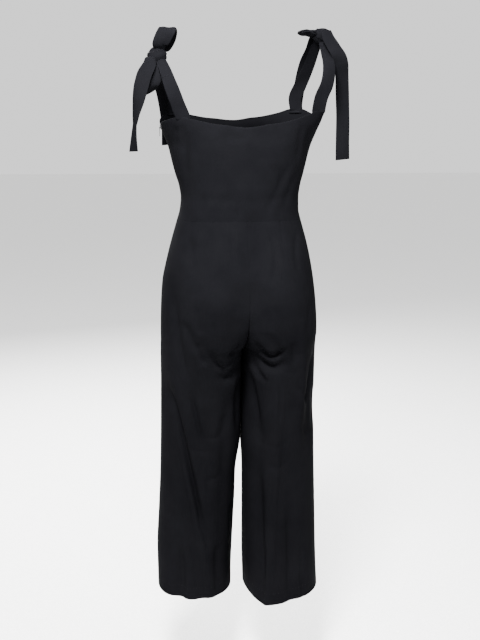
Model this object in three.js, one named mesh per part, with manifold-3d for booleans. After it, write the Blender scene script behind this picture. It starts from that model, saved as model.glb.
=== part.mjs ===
// Wide-legged jumpsuit with shoulder straps tied in bows, worn and hollow.
// Millimetres, +Z up, front towards -Y, wearer's left towards +X.
// The origin lies midway between the shoulders, at the level where the tied straps rest.
import * as THREE from 'three';
import { mergeVertices } from 'three/addons/utils/BufferGeometryUtils.js';
import Module from 'manifold-3d';

const wasm = await Module();
wasm.setup();

// Driving sizes
const WALL = 1.5;
const SEAM_GAP = 0.3;
const WAIST_Z = -357;
const STRAP_THICK = 2;
const KNOT_GAP = 0.4;

// Curved walls and ribbons are cut into this many steps. Leg rings further apart than
// LONGEST_STEP get one more between them.
const BACK_COLUMNS = 22;
const FRONT_COLUMNS = 26;
const LEG_COLUMNS = 16;
const LONGEST_STEP = 55;
const RIBBON_STEPS = 12;

// Reads a table whose first line names the columns.
function table(text) {
  const [names, ...rows] = text.trim().split('\n').map((line) => line.trim().split(/\s+/));
  return rows.map((row) => Object.fromEntries(names.map((name, i) => [name, Number(row[i])])));
}

// Torso rings above the waist seam: half widths to the wearer's left and right, the place of the
// side seams, how far the back and the front stand out, and how square the ring is.
const TORSO_RINGS = table(`
  z     left   right  side  back  front  square
  -362  140    136    -4    89    -103   2.15
  -334  132    130    -5    86    -99    2.15
  -310  129.5  128    -6    84    -98    2.15
  -284  133    131    -6    84    -102   2.15
  -256  141.5  138    -7    86    -110   2.15
  -230  148    144.5  -8    89    -118   2.15
  -200  155    153    -10   91    -118   2.2
  -170  166    168    -14   90    -108   2.4
  -145  172    177    -18   86    -98    2.7
  -105  174    180    -24   80    -90    2.9
`);
const TORSO_FLAT = 40;
const TORSO_CURVED_SHARE = 0.78;

// Top edge of the bodice, from the left side seam to the right one.
const BACK_TOP = table(`
  share  z
  0      -153
  0.1    -149
  0.19   -144.5
  0.23   -144
  0.28   -149
  0.35   -157
  0.43   -163
  0.5    -164.5
  0.57   -161.5
  0.64   -155
  0.71   -145
  0.78   -134
  0.82   -128
  0.86   -128
  0.93   -132
  1      -138
`);
const FRONT_TOP = table(`
  share  z
  0      -153
  0.1    -137
  0.2    -124
  0.25   -124
  0.31   -130
  0.4    -138
  0.5    -141
  0.6    -136
  0.69   -125
  0.76   -116
  0.81   -116
  0.9    -125
  1      -138
`);
// Heights of the bodice's rows, as shares of the way from its top edge to the waist seam.
const BODICE_ROWS = [0, 0.06, 0.12, 0.22, 0.33, 0.44, 0.56, 0.68, 0.79, 0.9, 1];

// Each half of the bust is a soft cup raised in the front wall.
const CUP = { x: 74, z: -222, rise: 17, wide: 46, high: 44 };

// Trouser rings of each leg, x counted outwards from the middle. The outer edge is the side seam,
// and backX and frontX are where the cloth stands out most. The inner edge is the centre seam down
// to the crotch and the inside leg below it, and tuck is how much the cloth turns in there.
const LEFT_RINGS = table(`
  z       outer  side  backX  back  frontX  front  inner  innerBack  innerFront  tuck
  -357    138.5  -4    40     88    40      -102   0      88         -102        0
  -398    151    -2    46     104   42      -110   0      101        -109        0
  -440    160    0     54     118   46      -115   0      114        -113        0
  -492    172    2     62     131   52      -116   0      124        -114        0
  -542    178    3     68     137   58      -114   0      124        -110        0.1
  -582    179.5  2     73     136   64      -112   0      113        -100        0.4
  -610    180    0     78     131   69      -111   0      90         -78         0.75
  -628    180    -1    81     126   73      -110   0      60         -44         0.95
  -634.5  180.5  -1    82     124   74      -110   0      38         -16         1
  -637    180.5  -1    83     123   75      -110   0      14         14          1
  -660    181    -2    87     116   80      -109   0.6    13         13          1
  -700    181    -5    92     106   87      -109   1.6    9          9           1
  -770    182    -9    97     93    93      -109   3      1          1           1
  -850    183.5  -13   99     82    96      -108   5      -7         -7          1
  -940    186    -18   100    72    98      -108   8      -14        -14         1
  -1040   191    -24   103    65    101     -111   11     -21        -21         1
  -1140   196    -30   107    59    104     -115   16     -27        -27         1
  -1238   195    -34   108    57    106     -119   20     -31        -31         1
`);
const RIGHT_RINGS = table(`
  z       outer  side  backX  back  frontX  front  inner  innerBack  innerFront  tuck
  -357    134.5  -4    40     88    40      -102   0      88         -102        0
  -398    146    -2    46     104   42      -110   0      101        -109        0
  -440    155    0     54     118   46      -115   0      114        -113        0
  -492    163    2     62     131   52      -116   0      124        -114        0
  -542    169    4     66     138   58      -114   0      124        -110        0.1
  -582    172    5     70     138   64      -111   0      113        -100        0.4
  -610    173    5     73     135   69      -109   0      90         -78         0.75
  -628    173    5     75     131   73      -108   0      60         -44         0.95
  -634.5  172.5  5     76     129   74      -107   0      38         -16         1
  -637    172.5  5     76     128   74      -107   0      14         14          1
  -660    172    5     77     124   77      -106   0.6    14         14          1
  -700    172    5     76     116   80      -104   1.2    14         14          1
  -770    171    5     73     107   83      -101   1.6    13         13          1
  -850    172    5     68     102   85      -98    2      11         11          1
  -940    175    4     62     100   87      -95    2.4    7          7           1
  -1040   178.5  4     55     102   88      -92    3      2          2           1
  -1140   182    3     49     107   90      -90    4      -4         -4          1
  -1238   187    2     44     111   91      -88    9      -10        -10         1
`);
const LEG_SQUARE = 2.1;
const LEG_OUTER_SHARE = 0.6;

// Largest folds: a line from top to end, its height off the cloth, below zero for a trough, and
// its half width. A fold whose end lies below the hem runs on through it.
const BACK_FOLDS = table(`
  topX  topZ   endX  endZ   rise  width
  181   -680   90    -1300  -9    15
  168   -760   70    -1290  6     20
  160   -470   100   -900   -5    18
  112   -590   60    -700   -4    12
  150   -1010  160   -1420  -8    16
  46    -700   52    -1100  -4    15
  -24   -650   -22   -1330  -7    15
  -158  -610   -138  -900   -6    16
  -116  -560   -122  -900   4     18
  -68   -690   -62   -960   4     12
  -96   -900   -112  -1420  -6    17
  -40   -590   -90   -690   -4    12
`);
const FRONT_FOLDS = table(`
  topX  topZ   endX  endZ   rise  width
  30    -560   120   -760   -4    14
  -28   -560   -112  -740   -4    14
  96    -620   104   -1420  6     22
  144   -700   150   -1380  -8    17
  54    -740   60    -1360  -7    16
  -90   -620   -92   -1420  6     22
  -138  -720   -142  -1380  -8    17
  -48   -700   -46   -1360  -7    16
`);
const FOLD_EDGE_FADE = 0.14;

// The concealed zip runs down the left side seam, which stands open above its slider.
const ZIP = { top: -171, end: -478, tape: 14, thick: 1, below: 0.5, lean: 0.12 };
const SLOT = { half: 2.1, openDown: 13, closedDown: 26 };
const SLIDER = { z: -161, high: 10, wide: 7, thick: 1.8, neck: 2.4, clear: 0.4 };
const LUG = { out: 2.6, wide: 1.2, high: 3.2, apart: 3.6 };
const PULL = { length: 18, wide: 5.6, root: 3, thick: 1.2, barrel: 1, sides: 14 };

// Wrapped knots: the middle and the half sizes.
const KNOTS = {
  left: { x: 176, y: -5, z: -16, wide: 19, deep: 14, high: 16 },
  right: { x: -181, y: -3, z: 30, wide: 20, deep: 14, high: 16 },
};

// Ribbons: the middle line, the width and the turn in degrees about that line. The width runs
// along X before it is turned, or along Y where across says so. From and to are the sides of the
// knot that an end leaves by. A foot's lean turns it from the lie of the edge towards X.
const RIBBONS = {
  strap_back_left: {
    knot: KNOTS.left,
    foot: { face: 'back', interval: 4, lean: 0.3 },
    to: [-0.4, 0.72, -0.56],
    rows: table(`
      x    y   z     width  turn
      138  68  -126  30     -20
      145  68  -106  29     -20
      151  62  -88   28     -18
      157  50  -69   26     -14
      162  34  -50   24     -10
    `),
  },
  strap_front_left: {
    knot: KNOTS.left,
    foot: { face: 'front', interval: 5, lean: 0.2 },
    to: [-0.42, -0.78, -0.46],
    rows: table(`
      x    y    z     width  turn
      135  -78  -104  29     18
      141  -73  -84   28     16
      150  -62  -64   26     12
      157  -46  -48   23     10
    `),
  },
  loop_up_left: {
    knot: KNOTS.left,
    from: [-0.4, 0.42, 0.81],
    to: [-0.4, -0.42, 0.81],
    rows: table(`
      x    y    z    width  turn
      162  6    10   26     6
      153  9    25   32     4
      149  8    36   34     0
      149  -3   42   34     0
      149  -15  36   34     0
      154  -19  25   32     -4
      161  -17  10   26     -6
    `),
  },
  loop_low_left: {
    knot: KNOTS.left,
    from: [0.25, 0.45, -0.86],
    to: [0.1, -0.38, -0.92],
    rows: table(`
      x    y    z     width  turn
      182  10   -46   26     6
      186  13   -64   31     4
      190  11   -82   31     0
      191  3    -93   30     0
      187  -5   -82   31     0
      182  -10  -64   31     -4
      179  -13  -46   26     -6
    `),
  },
  tail_back_left: {
    knot: KNOTS.left,
    from: [0.75, 0.62, -0.25],
    rows: table(`
      x    y   z     width  turn
      195  19  -36   23     10
      200  25  -58   25     12
      205  25  -82   26     18
      213  21  -110  26     34
      221  15  -134  24     56
      225  11  -157  23     72
      227  8   -183  25     64
      227  6   -211  26     54
    `),
  },
  tail_front_left: {
    knot: KNOTS.left,
    from: [0.22, -0.96, -0.16],
    rows: table(`
      x    y     z     width  turn
      179  -46   -32   24     6
      170  -68   -56   26     4
      159  -86   -88   26     0
      152  -97   -122  26     -4
      149  -104  -156  26     -6
      148  -107  -196  26     -8
    `),
  },
  strap_back_right: {
    knot: KNOTS.right,
    foot: { face: 'back', interval: 18, lean: 0.35 },
    to: [0, 0.6, -0.8],
    rows: table(`
      x     y   z     width  turn
      -163  60  -100  28     22
      -170  63  -76   28     16
      -177  56  -54   27     12
      -182  43  -30   26     8
      -183  25  -8    25     4
    `),
  },
  strap_front_right: {
    knot: KNOTS.right,
    foot: { face: 'front', interval: 20, lean: 0.2 },
    to: [0.4, -0.72, -0.56],
    rows: table(`
      x     y    z     width  turn
      -141  -79  -92   29     -18
      -150  -73  -68   28     -16
      -159  -60  -42   26     -12
      -167  -42  -14   23     -10
    `),
  },
  loop_in_right: {
    knot: KNOTS.right,
    across: 'y',
    from: [0.85, 0.2, 0.45],
    to: [0.97, 0.2, -0.15],
    rows: table(`
      x     y    z   width  turn
      -153  0    43  24     4
      -144  -4   44  27     8
      -135  -8   43  28     8
      -130  -9   40  28     8
      -135  -8   37  28     8
      -146  -4   32  26     6
    `),
  },
  loop_front_right: {
    knot: KNOTS.right,
    from: [-0.5, -0.6, 0.62],
    to: [-0.66, -0.7, -0.1],
    rows: table(`
      x     y    z    width  turn
      -197  -29  38   23     4
      -204  -46  25   28     0
      -208  -57  6    30     0
      -209  -61  -9   30     0
      -208  -53  -8   30     0
      -205  -42  5    28     0
      -199  -30  18   23     4
    `),
  },
  tail_back_right: {
    knot: KNOTS.right,
    from: [-0.15, 0.75, 0.64],
    rows: table(`
      x     y   z     width  turn
      -190  22  27    25     0
      -200  29  9     26     0
      -209  32  -8    26     -2
      -215  29  -25   26     0
      -218  22  -50   26     0
      -221  17  -92   26     2
      -224  13  -140  26     2
      -226  11  -176  26     0
      -227  10  -209  27     -2
    `),
  },
  tail_front_right: {
    knot: KNOTS.right,
    from: [0.7, -0.7, 0.1],
    rows: table(`
      x     y     z     width  turn
      -165  -42   10    23     -4
      -160  -63   -14   26     -2
      -155  -81   -48   26     0
      -151  -94   -86   26     4
      -149  -101  -126  26     6
      -148  -105  -170  26     8
    `),
  },
};

const CLOTH = { color: 0x26272a, roughness: 0.75, metalness: 0 };
const METAL = { color: 0x1f2023, roughness: 0.4, metalness: 0.6 };

function clamp(value, low, high) {
  return Math.min(Math.max(value, low), high);
}

function smoothStep(value) {
  const t = clamp(value, 0, 1);
  return t * t * (3 - 2 * t);
}

// Slope of one column at a row, flat where the column turns back, so that nothing overshoots.
function slopeAt(rows, key, name, i) {
  const step = (j) => (rows[j + 1][name] - rows[j][name]) / (rows[j + 1][key] - rows[j][key]);
  if (i === 0) return step(0);
  if (i === rows.length - 1) return step(i - 1);
  const [before, after] = [step(i - 1), step(i)];
  return before * after > 0 ? (2 * before * after) / (before + after) : 0;
}

// Every column of a table, smoothly between its rows.
function between(rows, key, value) {
  const way = Math.sign(rows[rows.length - 1][key] - rows[0][key]);
  let i = 0;
  while (i < rows.length - 2 && (value - rows[i + 1][key]) * way > 0) i += 1;
  const [a, b] = [rows[i], rows[i + 1]];
  const span = b[key] - a[key];
  const t = clamp((value - a[key]) / span, 0, 1);
  const blend = (name) => {
    const [rise, fall] = [slopeAt(rows, key, name, i) * span, slopeAt(rows, key, name, i + 1) * span];
    const change = b[name] - a[name];
    return a[name] + t * rise + t * t * (3 * change - 2 * rise - fall) + t ** 3 * (rise + fall - 2 * change);
  };
  return Object.fromEntries(Object.keys(a).map((name) => [name, blend(name)]));
}

function cupRise(x, z) {
  const across = (Math.abs(x) - CUP.x) / CUP.wide;
  const up = (z - CUP.z) / CUP.high;
  return CUP.rise * Math.exp(-across * across - up * up);
}

// A place on the torso. Share runs from the left side seam to the right one, past the back or front.
function torsoPoint(face, share, z) {
  const ring = between(TORSO_RINGS, 'z', z);
  const half = share < 0.5 ? ring.left : ring.right;
  const inwards = 1 - Math.abs(2 * share - 1);
  const angle = Math.min(inwards / TORSO_CURVED_SHARE, 1) * (Math.PI / 2);
  const flat = Math.max(inwards - TORSO_CURVED_SHARE, 0) / (1 - TORSO_CURVED_SHARE);
  const power = 2 / ring.square;
  const x = TORSO_FLAT * (1 - flat) + (half - TORSO_FLAT) * Math.max(Math.cos(angle), 0) ** power;
  const reach = ring[face] - ring.side;
  const y = ring.side + reach * Math.sin(angle) ** power;
  const bust = face === 'front' ? cupRise(x, z) * Math.sin(angle) : 0;
  return new THREE.Vector3(share < 0.5 ? x : -x, y - bust, z);
}

// A place on a leg's ring before its folds. Share runs from the side seam to the inner edge.
function legRingPoint(leg, face, share, z) {
  const ring = between(leg.rings, 'z', z);
  const [peakX, depth] = [ring[`${face}X`], ring[face]];
  const innerY = face === 'back' ? ring.innerBack : ring.innerFront;
  if (share < LEG_OUTER_SHARE) {
    const angle = (share / LEG_OUTER_SHARE) * (Math.PI / 2);
    const x = peakX + (ring.outer - peakX) * Math.cos(angle) ** (2 / LEG_SQUARE);
    const y = ring.side + (depth - ring.side) * Math.sin(angle) ** (2 / LEG_SQUARE);
    return new THREE.Vector3(leg.side * x, y, z);
  }
  const angle = ((share - LEG_OUTER_SHARE) / (1 - LEG_OUTER_SHARE)) * (Math.PI / 2);
  const inwards = Math.sin(angle) ** (2 / LEG_SQUARE);
  const straight = 0.5 + 0.5 * Math.cos(Math.PI * inwards);
  const turned = Math.max(Math.cos(angle), 0) ** (2 / LEG_SQUARE);
  const x = peakX - (peakX - ring.inner) * inwards;
  const y = innerY + (depth - innerY) * (straight + (turned - straight) * ring.tuck);
  return new THREE.Vector3(leg.side * x, y, z);
}

// How far the folds lift the cloth at a place.
function foldRise(folds, x, z) {
  let rise = 0;
  for (const fold of folds) {
    const along = (z - fold.topZ) / (fold.endZ - fold.topZ);
    if (along > 0 && along < 1 && fold.topX * x > 0) {
      const aside = (x - fold.topX - (fold.endX - fold.topX) * along) / fold.width;
      rise += fold.rise * Math.exp(-aside * aside) * Math.sin(Math.PI * along) ** 0.7;
    }
  }
  return rise;
}

// A surface's direction out of the cloth at a place, from small steps that stay on the surface.
function outwardAt(place, u, v, faceY) {
  const step = 0.002;
  const du = place(Math.min(u + step, 1), v).sub(place(Math.max(u - step, 0), v));
  const dv = place(u, Math.min(v + step, 1)).sub(place(u, Math.max(v - step, 0)));
  const normal = du.cross(dv).normalize();
  const middle = place(0.5 + step, 0.5).sub(place(0.5 - step, 0.5));
  middle.cross(place(0.5, 0.5 + step).sub(place(0.5, 0.5 - step)));
  return normal.multiplyScalar(Math.sign(middle.y) * Math.sign(faceY));
}

// A closed geometry from points and triangles, turned inside out if its faces point inwards.
function closedGeometry(points, triangles) {
  const geometry = new THREE.BufferGeometry().setFromPoints(points);
  let volume = 0;
  for (const [a, b, c] of triangles) {
    volume += points[a].dot(points[b].clone().cross(points[c]));
  }
  const faces = volume > 0 ? triangles : triangles.map(([a, b, c]) => [a, c, b]);
  geometry.setIndex(faces.flat());
  geometry.computeVertexNormals();
  return geometry;
}

// A wall between two grids of points, outer and inner, closed along all four edges.
function wallGeometry(outer, inner) {
  const [rows, columns] = [outer.length, outer[0].length];
  const points = [...outer.flat(), ...inner.flat()];
  const triangles = [];
  const quad = (a, b, c, d) => triangles.push([a, b, c], [a, c, d]);
  const at = (r, c, layer) => layer * rows * columns + r * columns + c;
  for (let r = 0; r < rows - 1; r += 1) {
    for (let c = 0; c < columns - 1; c += 1) {
      quad(at(r, c, 0), at(r, c + 1, 0), at(r + 1, c + 1, 0), at(r + 1, c, 0));
      quad(at(r, c, 1), at(r + 1, c, 1), at(r + 1, c + 1, 1), at(r, c + 1, 1));
    }
    quad(at(r, 0, 0), at(r + 1, 0, 0), at(r + 1, 0, 1), at(r, 0, 1));
    quad(at(r, columns - 1, 0), at(r, columns - 1, 1), at(r + 1, columns - 1, 1), at(r + 1, columns - 1, 0));
  }
  for (let c = 0; c < columns - 1; c += 1) {
    quad(at(0, c, 0), at(0, c, 1), at(0, c + 1, 1), at(0, c + 1, 0));
    quad(at(rows - 1, c, 0), at(rows - 1, c + 1, 0), at(rows - 1, c + 1, 1), at(rows - 1, c, 1));
  }
  return closedGeometry(points, triangles);
}

// A panel of cloth. Place gives its outer face, and edge says how far each point steps back from
// its seam along the cloth. Side keeps a panel on its own side of the middle.
function panelGeometry({ place, us, vs, faceY, edge, side = 0, thick = WALL }) {
  const keep = (point) => {
    if (side) point.x = side * Math.max(point.x * side, SEAM_GAP / 2);
    return point;
  };
  const outer = [];
  const inner = [];
  for (const v of vs) {
    outer.push([]);
    inner.push([]);
    for (const u of us) {
      const out = outwardAt(place, u, v, faceY);
      const point = place(u, v);
      const back = edge(u, v);
      if (back > 0) {
        const inwards = u < 0.5 ? place(0.004, v).sub(place(0, v)) : place(0.996, v).sub(place(1, v));
        point.addScaledVector(inwards.normalize(), back);
      }
      outer[outer.length - 1].push(keep(point.clone()));
      inner[inner.length - 1].push(keep(point.clone().addScaledVector(out, -thick)));
    }
  }
  return wallGeometry(outer, inner);
}

function evenShares(count) {
  return Array.from({ length: count + 1 }, (_, i) => i / count);
}

function meshOf(name, geometry, look) {
  const mesh = new THREE.Mesh(geometry, new THREE.MeshStandardMaterial(look));
  mesh.name = name;
  return mesh;
}

// The bodice's back or front, from its top edge down to the waist seam.
function bodicePanel(face) {
  const top = face === 'back' ? BACK_TOP : FRONT_TOP;
  const low = WAIST_Z + SEAM_GAP / 2;
  const heightAt = (u, v) => {
    const start = between(top, 'share', u).z;
    return start + (low - start) * v;
  };
  const place = (u, v) => torsoPoint(face, u, heightAt(u, v));
  const edge = (u, v) => {
    if (u > 0 && u < 1) return 0;
    const down = heightAt(u, 0) - heightAt(u, v);
    const shut = smoothStep((down - SLOT.openDown) / (SLOT.closedDown - SLOT.openDown));
    return SEAM_GAP / 2 + (u === 0 ? SLOT.half * (1 - shut) : 0);
  };
  const columns = face === 'back' ? BACK_COLUMNS : FRONT_COLUMNS;
  const faceY = face === 'back' ? 1 : -1;
  return panelGeometry({ place, us: evenShares(columns), vs: BODICE_ROWS, faceY, edge });
}

// Heights of a leg's rows: every ring, and one more between rings that lie far apart.
function legHeights(rings) {
  const heights = [rings[0].z - SEAM_GAP / 2];
  for (let i = 1; i < rings.length; i += 1) {
    if (rings[i - 1].z - rings[i].z > LONGEST_STEP) heights.push((rings[i - 1].z + rings[i].z) / 2);
    heights.push(rings[i].z);
  }
  return heights;
}

// One trouser panel: the back or the front of one leg, from the waist seam to the hem.
function legPanel(leg, face) {
  const heights = legHeights(leg.rings);
  const [topZ, endZ] = [heights[0], heights[heights.length - 1]];
  const folds = face === 'back' ? BACK_FOLDS : FRONT_FOLDS;
  const faceY = face === 'back' ? 1 : -1;
  const bare = (u, v) => legRingPoint(leg, face, u, topZ + (endZ - topZ) * v);
  const place = (u, v) => {
    const point = bare(u, v);
    const fade = smoothStep(Math.min(u, 1 - u) / FOLD_EDGE_FADE);
    const rise = fade * foldRise(folds, point.x, point.z);
    return rise === 0 ? point : point.addScaledVector(outwardAt(bare, u, v, faceY), rise);
  };
  const edge = (u) => (u === 0 || u === 1 ? SEAM_GAP / 2 : 0);
  const vs = heights.map((z) => (z - topZ) / (endZ - topZ));
  return panelGeometry({ place, us: evenShares(LEG_COLUMNS), vs, faceY, edge, side: leg.side });
}

// A place on a knot's surface and the direction out of it there.
function knotSide(knot, direction) {
  const half = new THREE.Vector3(knot.wide, knot.deep, knot.high);
  const towards = new THREE.Vector3(...direction).normalize();
  const onSphere = towards.clone().divide(half).normalize();
  const normal = onSphere.clone().divide(half).normalize();
  return { point: onSphere.multiply(half).add(new THREE.Vector3(knot.x, knot.y, knot.z)), normal };
}

function knotGeometry(knot) {
  const ball = new THREE.SphereGeometry(1, 14, 9);
  ball.scale(knot.wide, knot.deep, knot.high);
  return ball;
}

// Rows for a ribbon's root: it leaves square to the knot, gathered narrow.
const ROOT = { width: 20, out: 4 };
function rootRows(knot, direction, turn) {
  const { point, normal } = knotSide(knot, direction);
  const rowAt = (out, width) => {
    const { x, y, z } = point.clone().addScaledVector(normal, out);
    return { x, y, z, width, turn };
  };
  return [rowAt(KNOT_GAP, ROOT.width), rowAt(KNOT_GAP + ROOT.out, ROOT.width + 1)];
}

// The row where a strap is sewn to one interval of the bodice's top edge, and the lie of that edge.
const FOOT_GAP = 0.45;
function footRow({ face, interval, lean }, width) {
  const columns = face === 'back' ? BACK_COLUMNS : FRONT_COLUMNS;
  const top = face === 'back' ? BACK_TOP : FRONT_TOP;
  const cornerAt = (i) => torsoPoint(face, i / columns, between(top, 'share', i / columns).z);
  const [a, b] = [cornerAt(interval), cornerAt(interval + 1)];
  const along = a.clone().sub(b).normalize().lerp(new THREE.Vector3(1, 0, 0), lean).normalize();
  const inwards = new THREE.Vector3(0, 0, 1).cross(along).normalize();
  inwards.multiplyScalar(face === 'back' ? -1 : 1);
  const middle = a.add(b).divideScalar(2).addScaledVector(inwards, WALL / 2);
  return { x: middle.x, y: middle.y, z: middle.z + FOOT_GAP, width, along, inwards };
}

// A flat strip along its rows, as a closed solid.
function ribbonGeometry({ knot, foot, from, to, across = 'x', rows }) {
  const path = [...rows];
  if (foot) path.unshift({ ...rows[0], ...footRow(foot, rows[0].width) });
  if (from) path.unshift(...rootRows(knot, from, rows[0].turn));
  if (to) path.push(...rootRows(knot, to, rows[rows.length - 1].turn).reverse());
  const curve = new THREE.CatmullRomCurve3(path.map(({ x, y, z }) => new THREE.Vector3(x, y, z)));
  const steps = Math.max(RIBBON_STEPS, path.length + 4);
  const start = new THREE.Vector3(across === 'x' ? 1 : 0, across === 'y' ? 1 : 0, 0);
  const points = [];
  for (let i = 0; i <= steps; i += 1) {
    const t = i / steps;
    const place = curve.getPoint(t);
    const tangent = curve.getTangent(t);
    const index = Math.min(Math.floor(t * (path.length - 1)), path.length - 2);
    const part = t * (path.length - 1) - index;
    const width = THREE.MathUtils.lerp(path[index].width, path[index + 1].width, part);
    const turn = THREE.MathUtils.lerp(path[index].turn, path[index + 1].turn, part);
    const wide = start.clone().addScaledVector(tangent, -start.dot(tangent)).normalize();
    wide.applyAxisAngle(tangent, THREE.MathUtils.degToRad(turn)).multiplyScalar(width / 2);
    const thick = tangent.clone().cross(wide).setLength(STRAP_THICK / 2);
    if (i === 0 && foot) {
      wide.copy(path[0].along).setLength(width / 2);
      thick.copy(path[0].inwards).setLength(STRAP_THICK / 2);
      thick.multiplyScalar(Math.sign(thick.dot(tangent.clone().cross(wide))));
    }
    for (const [w, h] of [[1, 1], [-1, 1], [-1, -1], [1, -1]]) {
      points.push(place.clone().addScaledVector(wide, w).addScaledVector(thick, h));
    }
  }
  const triangles = [[0, 1, 2], [0, 2, 3]];
  for (let i = 0; i < steps; i += 1) {
    for (let k = 0; k < 4; k += 1) {
      const [a, b] = [i * 4 + k, i * 4 + ((k + 1) % 4)];
      triangles.push([a, a + 4, b + 4], [a, b + 4, b]);
    }
  }
  const last = steps * 4;
  triangles.push([last, last + 2, last + 1], [last, last + 3, last + 2]);
  return closedGeometry(points, triangles);
}

const LEGS = {
  left: { side: 1, rings: LEFT_RINGS },
  right: { side: -1, rings: RIGHT_RINGS },
};

// The left side seam at a height, with the directions out of the cloth and down along it.
function seamAt(z) {
  const pointAt = (height) => {
    const onBodice = height > WAIST_Z;
    return onBodice ? torsoPoint('back', 0, height) : legRingPoint(LEGS.left, 'back', 0, height);
  };
  const point = pointAt(z);
  const down = pointAt(z - 1).sub(pointAt(z + 1)).normalize();
  const out = new THREE.Vector3(-down.z, 0, down.x).normalize();
  return { point, down, out };
}

// The tape has its rows at the heights of the panels' own rows, so that it runs along inside them.
function zipTape() {
  const seamTop = BACK_TOP[0].z;
  const bodiceHeights = BODICE_ROWS.slice(0, -1).map((v) => seamTop + (WAIST_Z - seamTop) * v);
  const passed = [...bodiceHeights, WAIST_Z, ...legHeights(LEGS.left.rings).slice(1)];
  const heights = [ZIP.top, ...passed.filter((z) => z < ZIP.top && z > ZIP.end), ZIP.end];
  const place = (u, z) => {
    const { point, out } = seamAt(z);
    const aside = (u - 0.5) * ZIP.tape;
    point.addScaledVector(out, -WALL - ZIP.below - Math.abs(aside) * ZIP.lean);
    point.y += aside;
    return point;
  };
  const outer = heights.map((z) => evenShares(2).map((u) => place(u, z)));
  const inner = outer.map((row, i) => {
    return row.map((point) => point.clone().addScaledVector(seamAt(heights[i]).out, -ZIP.thick));
  });
  return wallGeometry(outer, inner);
}

// Joins overlapping closed geometries into one.
function joined(geometries) {
  const solids = geometries.map((geometry) => {
    const bare = new THREE.BufferGeometry();
    const source = geometry.index ? geometry.toNonIndexed() : geometry;
    bare.setAttribute('position', source.getAttribute('position'));
    const merged = mergeVertices(bare, 1e-5);
    return new wasm.Manifold(new wasm.Mesh({
      numProp: 3,
      vertProperties: new Float32Array(merged.getAttribute('position').array),
      triVerts: new Uint32Array(merged.index.array),
    }));
  });
  const whole = solids.reduce((a, b) => a.add(b)).getMesh();
  const geometry = new THREE.BufferGeometry();
  geometry.setAttribute('position', new THREE.BufferAttribute(whole.vertProperties, 3));
  geometry.setIndex(new THREE.BufferAttribute(whole.triVerts, 1));
  geometry.computeVertexNormals();
  return geometry;
}

// The slider in its own frame: X out of the cloth, Y along the ring, Z up along the seam.
function sliderGeometry() {
  const plate = (x) => new THREE.BoxGeometry(SLIDER.thick, SLIDER.wide, SLIDER.high).translate(x, 0, 0);
  const outerX = SLIDER.clear + SLIDER.thick / 2;
  const innerX = -WALL - SLIDER.clear - SLIDER.thick / 2;
  const neck = new THREE.BoxGeometry(outerX - innerX, SLIDER.neck, SLIDER.high - 2);
  neck.translate((outerX + innerX) / 2, 0, 0);
  const faceX = SLIDER.clear + SLIDER.thick;
  const lugs = [1, -1].map((way) => new THREE.BoxGeometry(LUG.out + 1, LUG.wide, LUG.high)
    .translate(faceX + (LUG.out - 1) / 2, (way * (LUG.apart + LUG.wide)) / 2, 0));
  return joined([plate(outerX), plate(innerX), neck, ...lugs]);
}

// The pull tab hangs from a barrel that turns between the slider's two lugs.
function pullGeometry() {
  const barrel = new THREE.CylinderGeometry(PULL.barrel, PULL.barrel, PULL.root, PULL.sides);
  const outline = new THREE.Shape();
  const tip = PULL.wide / 2;
  outline.moveTo(-PULL.root / 2, 0);
  outline.lineTo(-tip, tip - PULL.length);
  outline.absarc(0, tip - PULL.length, tip, Math.PI, 2 * Math.PI, false);
  outline.lineTo(PULL.root / 2, 0);
  outline.closePath();
  const tab = new THREE.ExtrudeGeometry(outline, { depth: PULL.thick, bevelEnabled: false, curveSegments: 10 });
  tab.translate(0, 0, -PULL.thick / 2);
  tab.rotateX(Math.PI / 2);
  tab.rotateZ(Math.PI / 2);
  return joined([barrel, tab]);
}

const jumpsuit = new THREE.Group();
jumpsuit.name = 'jumpsuit';

for (const face of ['back', 'front']) {
  jumpsuit.add(meshOf(`bodice_${face}`, bodicePanel(face), CLOTH));
  for (const [side, leg] of Object.entries(LEGS)) {
    jumpsuit.add(meshOf(`trouser_${face}_${side}`, legPanel(leg, face), CLOTH));
  }
}

for (const [side, knot] of Object.entries(KNOTS)) {
  const mesh = meshOf(`knot_${side}`, knotGeometry(knot), CLOTH);
  mesh.position.set(knot.x, knot.y, knot.z);
  jumpsuit.add(mesh);
}
for (const [name, ribbon] of Object.entries(RIBBONS)) {
  jumpsuit.add(meshOf(name, ribbonGeometry(ribbon), CLOTH));
}

// The zip: its tape follows the seam inside the cloth, and its slider stands in the open slot.
jumpsuit.add(meshOf('zip_tape', zipTape(), CLOTH));
const seam = seamAt(SLIDER.z);
const slider = meshOf('zip_slider', sliderGeometry(), METAL);
slider.position.copy(seam.point);
slider.rotation.y = Math.atan2(-seam.out.z, seam.out.x);
jumpsuit.add(slider);
const pull = meshOf('zip_pull', pullGeometry(), METAL);
const pinOut = SLIDER.clear + SLIDER.thick + LUG.out - PULL.barrel;
pull.position.copy(seam.point).addScaledVector(seam.out, pinOut);
jumpsuit.add(pull);

export default jumpsuit;
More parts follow.
